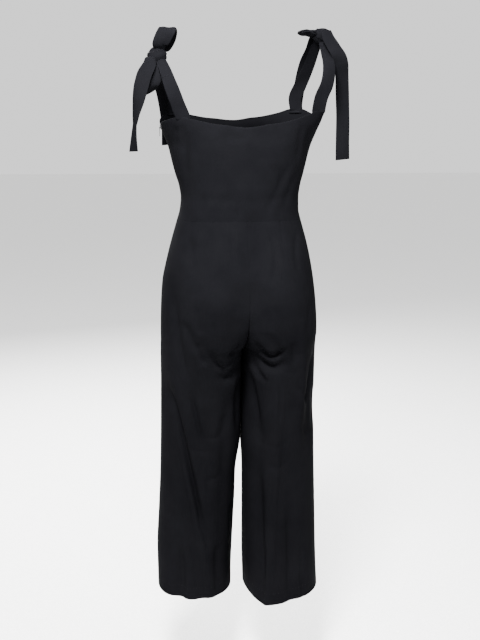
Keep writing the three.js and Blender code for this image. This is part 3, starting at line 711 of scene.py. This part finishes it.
knots = dict(
    left=dict(x=176, y=-5, z=-16, wide=19, deep=14, high=16),
    right=dict(x=-181, y=-3, z=30, wide=20, deep=14, high=16),
)
strip = dict(
    cut=0.027, thick=2.1, innerWide=0.94, innerThick=0.2, step=2.0, round=40,
    gap=0.4, rootWidth=20, innerWidth=15, rootOut=4, sink=5, pleat=0.75, pleatFade=24, fan=1.3, fanFade=46,
    crown=0.12, pleatWaves=8.6, pleatTurn=0.03, fanWaves=3.1, cup=0.035, cupLength=37,
    ripple=0.3, rippleLength=11, sway=0.35, swayLength=17,
    footDown=9, footFade=9, footTurn=60, footShare=0.02, footIn=0.75, footUp=0.45, footClear=0.2,
    tip=(2.2, 4.0, 0.1, 0), tipNear=11, tipFar=28, slant=1.2, slantFade=14, foldAt=5.5, foldRise=0.25,
)
ribbons = dict(
    strap_back_left=dict(knot="left", foot=("back", 0.228, 0.3), to=(-0.4, 0.72, -0.56), rows="""
      x  y    z width turn
    138 68 -126    30  -20
    145 68 -106    29  -20
    151 62  -88    28  -18
    157 50  -69    26  -14
    162 34  -50    24  -10
    """),
    strap_front_left=dict(knot="left", foot=("front", 0.212, 0.2), to=(-0.42, -0.78, -0.46), rows="""
      x   y    z width turn
    135 -78 -104    29   18
    141 -73  -84    28   16
    150 -62  -64    26   12
    157 -46  -48    23   10
    """),
    loop_up_left=dict(knot="left", start=(-0.4, 0.42, 0.81), to=(-0.4, -0.42, 0.81), rows="""
      x   y  z width turn
    170   9  5    33   10
    163  12 20    35    8
    155  10 34    34    2
    149  -3 42    33    0
    148 -16 34    33    0
    151 -20 22    33   -4
    160 -17  6    31   -6
    """),
    loop_low_left=dict(knot="left", start=(0.25, 0.45, -0.86), to=(0.1, -0.38, -0.92),
                       tip=(1.5, 3.0, 0.1, 24), rows="""
      x   y    z width turn
    184  16  -40    33    6
    189  21  -62    40    4
    197  19  -85    38    0
    202   7 -106    33    0
    197  -7  -82    33    0
    191 -11  -64    33   -4
    184 -13  -46    29   -6
    """),
    tail_back_left=dict(knot="left", start=(0.75, 0.62, -0.25), rows="""
      x  y    z width turn
    194 20  -36    28    6
    205 27  -56    31    8
    212 28  -80    31   12
    218 25 -108    28   30
    224 18 -134    24   56
    227 12 -157    23   76
    229  8 -183    25   64
    230  6 -212    26   50
    """),
    tail_front_left=dict(knot="left", start=(0.22, -0.96, -0.16), rows="""
      x    y    z width turn
    179  -46  -32    24    6
    170  -68  -56    26    4
    159  -86  -88    26    0
    152  -97 -122    26   -4
    149 -104 -156    26   -6
    148 -107 -196    26   -8
    """),
    strap_back_right=dict(knot="right", foot=("back", 0.826, 0.8), to=(0, 0.6, -0.8), rows="""
       x  y    z width turn
    -164 61 -100    30    8
    -174 62  -76    29    6
    -180 56  -54    28    6
    -184 43  -30    27    4
    -184 25   -8    26    4
    """),
    strap_front_right=dict(knot="right", foot=("front", 0.788, 0.5), to=(0.4, -0.72, -0.56), rows="""
       x   y   z width turn
    -141 -79 -92    29  -18
    -150 -73 -68    28  -16
    -159 -60 -42    26  -12
    -167 -42 -14    23  -10
    """),
    loop_in_right=dict(knot="right", across="y", start=(0.85, 0.2, 0.45), to=(0.97, 0.2, 0.1), rows="""
       x  y  z width turn
    -153  0 42    24  -18
    -144 -4 43    27  -22
    -135 -8 42    28  -16
    -130 -9 40    28  -10
    -135 -8 38    28  -14
    -146 -4 37    26  -18
    """),
    loop_front_right=dict(knot="right", start=(-0.5, -0.6, 0.62), to=(-0.66, -0.7, -0.1), rows="""
       x   y  z width turn
    -197 -29 38    22    4
    -205 -46 25    25    0
    -210 -57  6    25    0
    -211 -61 -9    25    0
    -210 -53 -8    25    0
    -206 -42  5    25    0
    -199 -30 18    22    4
    """),
    tail_back_right=dict(knot="right", start=(-0.15, 0.75, 0.64), rows="""
       x  y    z width turn
    -188 22   25    27    0
    -198 28    7    29    0
    -207 32   -9    30   -2
    -215 29  -26    30    0
    -219 22  -50    30    0
    -223 17  -92    30    2
    -226 13 -140    30    2
    -228 11 -186    31    0
    -229 10 -229    32   -2
    """),
    tail_front_right=dict(knot="right", start=(0.7, -0.7, 0.1), rows="""
       x    y    z width turn
    -165  -42   10    23   -4
    -160  -63  -14    26   -2
    -155  -81  -48    26    0
    -151  -94  -86    26    4
    -149 -101 -126    26    6
    -148 -105 -170    26    8
    """),
)


def knotSide(knot, direction):
    half = np.array([knot["wide"], knot["deep"], knot["high"]], float)
    onBall = unit(np.array(direction) / half)
    return onBall * half + [knot["x"], knot["y"], knot["z"]], unit(onBall / half)


def edgeEnds(face, share):
    # two points on the bodice's top edge, one to each side of a share of its girth
    shares = share + np.array([-strip["footShare"], strip["footShare"]])
    return torsoPoints(face, shares, between(bodiceTop[face], "share", "z", shares))


def footPlace(face, share, lean):
    a, b = edgeEnds(face, share)
    along = unit(unit(a - b) * (1 - lean) + np.array([lean, 0, 0]))
    inwards = unit(np.cross([0, 0, 1], along)) * (-1 if face == "back" else 1)
    return (a + b) / 2 + inwards * strip["footIn"] + [0, 0, strip["footUp"]], along


def routePoints(points, count):
    # a smooth line through the points, closer to them where they lie close together
    points = np.array(points)
    ends = [2 * points[0] - points[1], *points, 2 * points[-1] - points[-2]]
    places, parts = [], []
    for t in np.linspace(0, 1, count):
        i = min(int(t * (len(points) - 1)), len(points) - 2)
        s = t * (len(points) - 1) - i
        p0, p1, p2, p3 = ends[i:i + 4]
        d0, d1, d2 = (max(np.linalg.norm(b - a) ** 0.5, 1e-4) for a, b in ((p0, p1), (p1, p2), (p2, p3)))
        m1 = ((p1 - p0) / d0 - (p2 - p0) / (d0 + d1) + (p2 - p1) / d1) * d1
        m2 = ((p2 - p1) / d1 - (p3 - p1) / (d1 + d2) + (p3 - p2) / d2) * d1
        places.append(p1 + m1 * s + (3 * (p2 - p1) - 2 * m1 - m2) * s**2 + (2 * (p1 - p2) + m1 + m2) * s**3)
        parts.append(i + s)
    return np.array(places), np.array(parts)


def ribbonFrame(spec):
    rows = readTable(spec["rows"])
    places = list(np.stack([rows["x"], rows["y"], rows["z"]], -1))
    widths, turns = list(rows["width"]), list(rows["turn"])
    foot = footPlace(*spec["foot"]) if "foot" in spec else None
    if foot:
        down = foot[0] - unit(unit(places[0] - foot[0]) + [0, 0, 1]) * strip["footDown"]
        places, widths, turns = [down, foot[0]] + places, [widths[0]] * 2 + widths, [turns[0]] * 2 + turns
    for key in ("start", "to"):
        if key in spec:
            point, normal = knotSide(knots[spec["knot"]], spec[key])
            near = [point - normal * strip["sink"], point + normal * (strip["gap"] + strip["rootOut"])]
            turn = turns[0] if key == "start" else turns[-1]
            sizes = [strip["innerWidth"], strip["rootWidth"] + 1]
            if key == "start":
                places, widths, turns = near + places, sizes + widths, [turn, turn] + turns
            else:
                places, widths, turns = places + near[::-1], widths + sizes[::-1], turns + [turn, turn]
    length = sum(np.linalg.norm(b - a) for a, b in zip(places, places[1:]))
    line, parts = routePoints(places, max(int(length / strip["step"]), 30))
    tangent = unit(np.gradient(line, axis=0))
    index = np.arange(len(widths))
    width = np.interp(parts, index, widths)
    turn = np.radians(np.interp(parts, index, turns))
    start = np.array([0, 1, 0] if spec.get("across") == "y" else [1, 0, 0], float)
    wide = unit(start - tangent * (tangent @ start)[:, None])
    normal = np.cross(tangent, wide)
    wide = wide * np.cos(turn)[:, None] + normal * np.sin(turn)[:, None]
    if foot:
        # from the bodice's edge the strap turns slowly to its own way
        onEdge = unit(foot[1] - tangent * (tangent @ foot[1])[:, None])
        free = smoothStep((line[:, 2] - line[0, 2] - strip["footDown"]) / strip["footTurn"])[:, None]
        wide = unit(onEdge * (1 - free) + wide * free)
    return line, tangent, wide, unit(np.cross(tangent, wide)), width, length


def footSections(spec, line, u, v):
    # the strap's lower end, laid along the inside of the bodice's curved top edge
    face, middle, _ = spec["foot"]
    a, b = edgeEnds(face, middle)
    share = middle - u * 2 * strip["footShare"] / np.linalg.norm(a - b)
    z = np.minimum(line[:, 2], line[0, 2] + strip["footDown"] + 1)[:, None] + 0 * u
    surface = torsoPoints(face, share, z)
    ahead = torsoPoints(face, share - 0.004, z)
    outwards = np.cross(ahead - surface, [0, 0, 1])
    outwards = unit(outwards) * (-1 if (outwards[0, 0, 1] < 0) == (face == "back") else 1)
    lifted = surface + outwards * (v - cloth["thick"] - strip["thick"] / 2 - strip["footClear"])[..., None]
    lifted[..., 2] = line[:, None, 2] + 0 * u
    return lifted


def closedTube(rings, tangent):
    # a flattened tube's faces, with both ends closed
    count, n = rings.shape[:2]
    at = np.arange(count * n).reshape(count, n)
    faces = ringFaces(at)
    points = rings.reshape(-1, 3)
    half = n // 2
    for ring, out in ((at[0], -tangent[0]), (at[-1][::-1], tangent[-1])):
        small = points[ring].mean(0) + (points[ring] - points[ring].mean(0)) * 0.9 + out * 0.35
        inner = len(points) + np.arange(n)
        points = np.concatenate([points, small])
        faces += [[ring[i], ring[(i + 1) % n], inner[(i + 1) % n], inner[i]] for i in range(n)]
        pairs = [(inner[i], inner[-i % n]) for i in range(half + 1)]
        faces += [[pairs[i][0], pairs[i + 1][0], pairs[i + 1][1], pairs[i][1]] for i in range(1, half - 1)]
        faces.append([pairs[0][0], pairs[1][0], pairs[1][1]])
        faces.append([pairs[half - 1][0], pairs[half][0], pairs[half - 1][1]])
    return points, [[int(i) for i in f] for f in faces]


def makeRibbon(name, spec):
    line, tangent, wide, normal, width, length = ribbonFrame(spec)
    around = np.linspace(0, 2 * math.pi, strip["round"], endpoint=False)
    along = lengthAlong(line)
    fromRoot = np.full(len(line), 1e3)
    if "start" in spec:
        fromRoot = np.minimum(fromRoot, along)
    if "to" in spec:
        fromRoot = np.minimum(fromRoot, along[-1] - along)
    gather = np.exp(-(fromRoot / strip["pleatFade"]) ** 2)[:, None]
    fan = np.exp(-(fromRoot / strip["fanFade"]) ** 2)[:, None]
    phase = sum(ord(c) for c in name) % 7
    across = np.sign(np.cos(around)) * np.abs(np.cos(around)) ** 0.6
    lift = np.sign(np.sin(around)) * np.abs(np.sin(around)) ** 0.5
    s = along[:, None]
    u = across * width[:, None] / 2 + 0 * s
    v = lift * strip["thick"] / 2 * (1 + strip["crown"] * across**4) + 0 * s
    # pleats and a fan at the knot, then a slow cup, a ripple and a sway along the free length
    v = v + strip["pleat"] * gather * np.cos(across * strip["pleatWaves"] + phase + s * strip["pleatTurn"])
    v = v + strip["fan"] * fan * np.cos(across * strip["fanWaves"] + phase * 1.7)
    cup = strip["cup"] * width[:, None] * (across**2 - 0.4)
    v = v + cup * np.cos(s / strip["cupLength"] + phase) * (1 - gather)
    v = v + strip["ripple"] * np.sin(s / strip["rippleLength"] + phase + across * 1.4) * (1 - 0.6 * gather)
    u = u + strip["sway"] * np.sin(s / strip["swayLength"] + phase) * (1 - gather)
    rings = line[:, None] + wide[:, None] * u[..., None] + normal[:, None] * v[..., None]
    if "foot" in spec:
        upright = line[:, 2] - line[0, 2] - strip["footDown"]
        hold = 1 - smoothStep(1 + upright / strip["footFade"])[:, None, None]
        rings = rings * (1 - hold) + footSections(spec, line, u, v) * hold
    if "start" in spec and "to" in spec:
        middle = len(line) // 2
        # a loop's tip sags between its two corners
        out = unit(line[middle] - (line[0] + line[-1]) / 2)
        near, wider = (np.exp(-((s - along[middle]) / strip[reach]) ** 2) for reach in ("tipNear", "tipFar"))
        dip, corner, middleAt, skew = spec.get("tip", strip["tip"])
        sag = dip * np.exp(-((across - middleAt) / 0.45) ** 2) + corner * np.abs(across) ** 5
        aslant = skew * np.maximum(0.9 - across, 0) / 1.9
        rings = rings - (near * sag + wider * aslant)[..., None] * out
    elif "start" in spec:
        # a tie's end is cut a little aslant, and its folded edge is thicker
        near = smoothStep(1 - (along[-1] - s) / strip["slantFade"])
        rings = rings + (near * across * strip["slant"])[..., None] * tangent[-1]
        fold = np.exp(-(along[-1] - s - strip["foldAt"]) ** 2)
        rings = rings - (fold * lift * strip["foldRise"])[..., None] * normal[:, None]
    # a turned tube: its wall has an outer face and an inner one
    points, faces = closedTube(rings, tangent)
    fold = rings[:, (-np.arange(rings.shape[1])) % rings.shape[1]]
    middles, centre = (rings + fold) / 2, rings.mean(1, keepdims=True)
    inside = centre + (middles - centre) * strip["innerWide"] + (rings - middles) * strip["innerThick"]
    innerPoints, innerFaces = closedTube(inside[1:-1], tangent[1:-1])
    faces += [[i + len(points) for i in reversed(f)] for f in innerFaces]
    points = np.concatenate([points, innerPoints])
    piece = clothPiece("cloth_" + name, points, faces)
    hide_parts(name)
    return piece, length, rings


ribbonPieces = {name: makeRibbon(name, spec) for name, spec in ribbons.items()}
print("straps and ties made")


# Wrapped knots

knotLook = dict(
    left=dict(normal=(0.28, 0.1, 0.95), band=0.66, twist=0.5, grow=(1.08, 1.16, 1.4), up=-1),
    right=dict(normal=(-0.5, 0.12, 0.86), band=0.62, twist=-0.4, grow=(1.16, 1.16, 1.16), up=1.5),
    rings=44, around=72, section=40, coreSize=0.9, coreFolds=9, coreFold=0.03,
    bandSize=0.94, bandThick=0.085, bandThin=0.03, pleat=0.035,
)


def ballPoints(knot, direction, factor):
    half = np.array([knot["wide"], knot["deep"], knot["high"]], float)
    return unit(direction) * half * factor[..., None] + [knot["x"], knot["y"], knot["z"]]


def makeKnot(side):
    # a gathered core with the strip wrapped once round it
    look = knotLook[side]
    knot = dict(knots[side])
    for size, grow in zip(("wide", "deep", "high"), look["grow"]):
        knot[size] *= grow
    knot["z"] += look["up"]
    n = unit(np.array(look["normal"]))
    e1 = unit(np.cross([0, 1, 0], n))
    e2 = np.cross(n, e1)
    theta = np.linspace(0, 2 * math.pi, knotLook["around"], endpoint=False)
    phi = np.linspace(0.03, math.pi - 0.03, knotLook["rings"])
    turn, up = np.meshgrid(theta, phi)
    core = (np.sin(up) * np.cos(turn))[..., None] * e1 + (np.sin(up) * np.sin(turn))[..., None] * e2
    core = core + np.cos(up)[..., None] * n
    gathers = np.cos(knotLook["coreFolds"] * turn + 3 * np.cos(up)) * np.sin(up) ** 0.5
    corePoints = ballPoints(knot, core, knotLook["coreSize"] + knotLook["coreFold"] * gathers)
    sections = np.linspace(0, 2 * math.pi, knotLook["section"], endpoint=False)
    around, section = np.meshgrid(theta, sections, indexing="ij")
    w = np.sign(np.cos(section)) * np.abs(np.cos(section)) ** 0.7
    outer = np.sin(section)
    wave = 0.10 * np.sin(around + look["twist"]) + 0.04 * np.sin(2 * around + 1)
    band = np.cos(around)[..., None] * e1 + np.sin(around)[..., None] * e2
    band = band + (w * look["band"] + wave)[..., None] * n
    folds = np.cos(w * 7.4 + 1.2 * np.sin(around + look["twist"])) + 0.6 * np.cos(w * 14 + 2 * np.sin(around))
    factor = knotLook["bandSize"] + knotLook["bandThick"] * outer - knotLook["bandThin"] * w**4
    factor = factor + knotLook["pleat"] * folds * np.maximum(outer, 0)
    bandPoints = ballPoints(knot, band, factor)
    at = np.arange(up.size).reshape(up.shape)
    faces = ringFaces(at)
    faces += [list(map(int, at[0])), list(map(int, at[-1][::-1]))]
    ring = at.size + np.arange(around.size).reshape(around.shape)
    ahead, aside = np.roll(ring, -1, axis=0), np.roll(ring, -1, axis=1)
    both = np.roll(ahead, -1, axis=1)
    faces += np.stack([ring, ahead, both, aside], -1).reshape(-1, 4).tolist()
    points = np.concatenate([corePoints.reshape(-1, 3), bandPoints.reshape(-1, 3)])
    piece = clothPiece(f"cloth_knot_{side}", points, faces)
    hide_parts(f"knot_{side}")
    return piece


knotPieces = {side: makeKnot(side) for side in knots}
print("knots made")

# The zip: woven tape, with the slider and its tab carried over from the frame
for node, mat in (("zip_tape", tapeMat), ("zip_slider", enamelMat), ("zip_pull", enamelMat)):
    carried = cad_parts[node]
    carried.data.materials.clear()
    carried.data.materials.append(mat)


# Stitches and zip teeth: one small form set at points along a line, each with its own direction

def mathOf(tree, operation, first, second):
    node = nodeOf(tree, "ShaderNodeMath", operation=operation)
    for i, value in enumerate((first, second)):
        if isinstance(value, (int, float)):
            node.inputs[i].default_value = value
        else:
            tree.links.new(value, node.inputs[i])
    return node.outputs[0]


def rowTree(name, form, mat):
    # form draws one piece from the group's length, thickness and height, along X and standing on Z
    tree = bpy.data.node_groups.new(name, "GeometryNodeTree")
    sockets = dict(Geometry="Geometry", Length="Float", Thickness="Float", Height="Float", Variation="Float",
                   Seed="Int")
    for label, kind in sockets.items():
        tree.interface.new_socket(label, in_out="INPUT", socket_type="NodeSocket" + kind)
    tree.interface.new_socket("Geometry", in_out="OUTPUT", socket_type="NodeSocketGeometry")
    given = nodeOf(tree, "NodeGroupInput").outputs
    along, outwards = (nodeOf(tree, "GeometryNodeInputNamedAttribute", data_type="FLOAT_VECTOR", Name=label)
                       .outputs["Attribute"] for label in ("along", "outwards"))
    onLine = wired(tree, "FunctionNodeAlignRotationToVector", {"Vector": along}, axis="X")
    standing = wired(tree, "FunctionNodeAlignRotationToVector",
                     {"Rotation": onLine.outputs["Rotation"], "Vector": outwards}, axis="Z", pivot_axis="X")
    size = wired(tree, "FunctionNodeRandomValue", {"Seed": given["Seed"]}, data_type="FLOAT")
    limits = [socket for socket in size.inputs if socket.type == "VALUE"]
    for socket, operation in zip(limits, ("SUBTRACT", "ADD")):
        tree.links.new(mathOf(tree, operation, 1, given["Variation"]), socket)
    place = wired(tree, "GeometryNodeInstanceOnPoints", {
        "Points": given["Geometry"], "Instance": form(tree, given), "Rotation": standing.outputs["Rotation"],
        "Scale": next(socket for socket in size.outputs if socket.type == "VALUE"),
    })
    whole = wired(tree, "GeometryNodeRealizeInstances", {"Geometry": place.outputs["Instances"]})
    painted = wired(tree, "GeometryNodeSetMaterial", {"Geometry": whole.outputs["Geometry"]}, Material=mat)
    wired(tree, "NodeGroupOutput", {"Geometry": painted.outputs["Geometry"]})
    return tree


def threadArc(tree, given):
    # a thread that comes up through the cloth and goes down again
    handles = {}
    for socket, share, up in (("Start", -0.5, -1), ("Start Handle", -0.4, 1.2),
                              ("End Handle", 0.4, 1.2), ("End", 0.5, -1)):
        point = wired(tree, "ShaderNodeCombineXYZ", {"X": mathOf(tree, "MULTIPLY", given["Length"], share),
                                                     "Z": mathOf(tree, "MULTIPLY", given["Height"], up)})
        handles[socket] = point.outputs[0]
    arc = wired(tree, "GeometryNodeCurvePrimitiveBezierSegment", handles, Resolution=6)
    section = wired(tree, "GeometryNodeCurvePrimitiveCircle", {"Radius": given["Thickness"]}, Resolution=6)
    curves = {"Curve": arc.outputs["Curve"], "Profile Curve": section.outputs["Curve"]}
    return wired(tree, "GeometryNodeCurveToMesh", curves, Fill_Caps=True).outputs["Mesh"]


def coilTooth(tree, given):
    # one turn of the zip's coil, rounded at both ends
    ball = nodeOf(tree, "GeometryNodeMeshUVSphere", Segments=8, Rings=5, Radius=0.5)
    lengths = {axis: given[label] for axis, label in zip("XYZ", ("Length", "Thickness", "Height"))}
    size = wired(tree, "ShaderNodeCombineXYZ", lengths)
    sized = {"Geometry": ball.outputs["Mesh"], "Scale": size.outputs[0]}
    return wired(tree, "GeometryNodeTransform", sized).outputs["Geometry"]


threadTree = rowTree("stitchRow", threadArc, threadMat)
toothTree = rowTree("toothRow", coilTooth, enamelMat)


def makeRow(name, tree, mat, points, along, outwards, values):
    # values are in millimetres, apart from the variation and the seed
    mesh = bpy.data.meshes.new(name + "_points")
    mesh.from_pydata((np.asarray(points) * mm).tolist(), [], [])
    for label, vectors in (("along", along), ("outwards", outwards)):
        held = mesh.attributes.new(label, "FLOAT_VECTOR", "POINT")
        held.data.foreach_set("vector", np.asarray(vectors, float).ravel())
    source = objectOf(name + "_points", mesh)
    modifier = source.modifiers.new("row", "NODES")
    modifier.node_group = tree
    inputs = {item.name: item.identifier for item in tree.interface.items_tree
              if item.in_out == "INPUT" and item.name != "Geometry"}
    for label, value in values.items():
        modifier[inputs[label]] = value if label in ("Variation", "Seed") else value * mm
    evaluated = source.evaluated_get(bpy.context.evaluated_depsgraph_get())
    made = bpy.data.meshes.new_from_object(evaluated)
    bpy.data.objects.remove(source)
    made.name = name
    made.materials.clear()
    made.materials.append(mat)
    made.shade_smooth()
    piece = objectOf(name, made)
    return piece


def evenPoints(line, spacing, margin):
    # evenly spaced points along a line, their direction, and their places on it
    length = lengthAlong(line)
    at = np.arange(margin, length[-1] - margin, spacing)
    points = pointsAt(at, length, line)
    return points, unit(np.gradient(points, axis=0)), at, length


# A blind hem shows as small pricks of thread; the ties' ends are topstitched
hemStitch = dict(spacing=7, margin=4, column=40,
                 values=dict(Length=1.1, Thickness=0.14, Height=0.12, Variation=0.18, Seed=11))
tieStitch = dict(spacing=2.7, margin=2.2, fromEnd=6.5,
                 values=dict(Length=2.1, Thickness=0.17, Height=0.16, Variation=0.06, Seed=5))
tooth = dict(top=-172, end=-476, pitch=1.6, sink=0.1, zigzag=0.35,
             values=dict(Length=1.5, Thickness=1.1, Height=0.5, Variation=0.0, Seed=1))
rows = []
for (side, face), (piece, outer, normals) in panels.items():
    if side == "bodice":
        continue
    heights = outer[:, hemStitch["column"], 2]
    row = np.argmin(np.abs(heights - (heights[-1] + trousers["hemStitchUp"])))
    points, along, at, length = evenPoints(outer[row], hemStitch["spacing"], hemStitch["margin"])
    rows.append(makeRow(f"stitches_hem_{face}_{side}", threadTree, threadMat, points, along,
                        unit(pointsAt(at, length, normals[row])), hemStitch["values"]))
for name, (_, _, rings) in ribbonPieces.items():
    if not name.startswith("tail"):
        continue
    ring = rings[-1 - round(tieStitch["fromEnd"] / strip["step"])]
    half = len(ring) // 2
    points, along, _, _ = evenPoints(ring[:half + 1], tieStitch["spacing"], tieStitch["margin"])
    q = half // 2
    outwards = unit(ring[q] - (ring[q] + ring[-q]) / 2 + 1e-6 * (ring[q] - ring[-q]))
    rows.append(makeRow(f"stitches_{name}", threadTree, threadMat, points, along,
                        np.broadcast_to(outwards, points.shape), tieStitch["values"]))

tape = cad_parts["zip_tape"]
corners = np.array([tape.matrix_world @ v.co for v in tape.data.vertices]) / mm
levels = np.unique(corners[:, 2].round(1))[::-1]
atLevel = [corners[np.abs(corners[:, 2] - level) < 0.06] for level in levels]
tapeFace = np.array([[c[:, 0].max(), (c[:, 1].min() + c[:, 1].max()) / 2] for c in atLevel])
heights = np.arange(tooth["top"], tooth["end"], -tooth["pitch"])
outX, outY = (np.interp(-heights, -levels, tapeFace[:, k]) for k in (0, 1))
points = np.stack([outX + tooth["sink"], outY, heights], -1)
points[:, 1] += np.where(np.arange(len(points)) % 2, tooth["zigzag"], -tooth["zigzag"])
along, outwards = (np.tile(direction, (len(points), 1)) for direction in ([0.0, 1.0, 0.0], [1.0, 0.0, 0.0]))
rows.append(makeRow("zip_teeth", toothTree, enamelMat, points, along, outwards, tooth["values"]))
print("stitches and teeth made")

shells = [entry[0] for group in (panels, ribbonPieces) for entry in group.values()]
for piece in [*rows, *knotPieces.values(), *shells]:
    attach(piece, "suit")
# Floor, light and camera
studio = dict(floor=-1.455, reach=60, floorColor=(0.86, 0.86, 0.855), sky=(1.0, 1.0, 1.0), skyStrength=1.25)


def makeStage():
    floorMat = makePlain("paleFloor", studio["floorColor"], 0.8)
    mesh = bpy.data.meshes.new("floor")
    corners = [(x * studio["reach"], y * studio["reach"], studio["floor"])
               for x, y in ((-1, -1), (1, -1), (1, 1), (-1, 1))]
    mesh.from_pydata(corners, [], [(0, 1, 2, 3)])
    mesh.materials.append(floorMat)
    objectOf("floor", mesh)
    world = bpy.data.worlds.new("studioWorld")
    bpy.context.scene.world = world
    world.use_nodes = True
    sky = world.node_tree.nodes["Background"]
    sky.inputs["Color"].default_value = (*studio["sky"], 1)
    sky.inputs["Strength"].default_value = studio["skyStrength"]


def softLight(name, place, aim, size, power):
    data = bpy.data.lights.new(name, "AREA")
    data.shape, data.size, data.energy = "DISK", size, power
    lamp = objectOf(name, data)
    lamp.location = place
    lamp.rotation_mode = "QUATERNION"
    lamp.rotation_quaternion = (Vector(aim) - Vector(place)).to_track_quat("-Z", "Y")


camera = dict(turn=10, distance=1.779, height=-0.224, pitch=11.5, lens=45.0, sensor=36)


def makeCamera():
    data = bpy.data.cameras.new("camera")
    data.lens, data.sensor_width, data.sensor_fit = camera["lens"], camera["sensor"], "AUTO"
    eye = objectOf("camera", data)
    turn, pitch = math.radians(camera["turn"]), math.radians(camera["pitch"])
    away = camera["distance"]
    eye.location = (away * math.sin(turn), away * math.cos(turn), camera["height"])
    look = Vector((-math.sin(turn) * math.cos(pitch), -math.cos(turn) * math.cos(pitch), -math.sin(pitch)))
    eye.rotation_mode = "QUATERNION"
    eye.rotation_quaternion = look.to_track_quat("-Z", "Y")
    bpy.context.scene.camera = eye


makeStage()
softLight("key", (0.7, 1.5, 1.9), (0, 0, -0.1), 0.8, 360)
softLight("topFill", (0.3, 0.85, 0.5), (0, 0, 0.12), 0.35, 68)
softLight("side", (-2.2, 1.3, 0.6), (0, 0, -0.6), 0.8, 40)
softLight("frontFill", (0.6, -2.2, 1.2), (0, 0, -0.4), 1.4, 430)
makeCamera()
print("stage made")
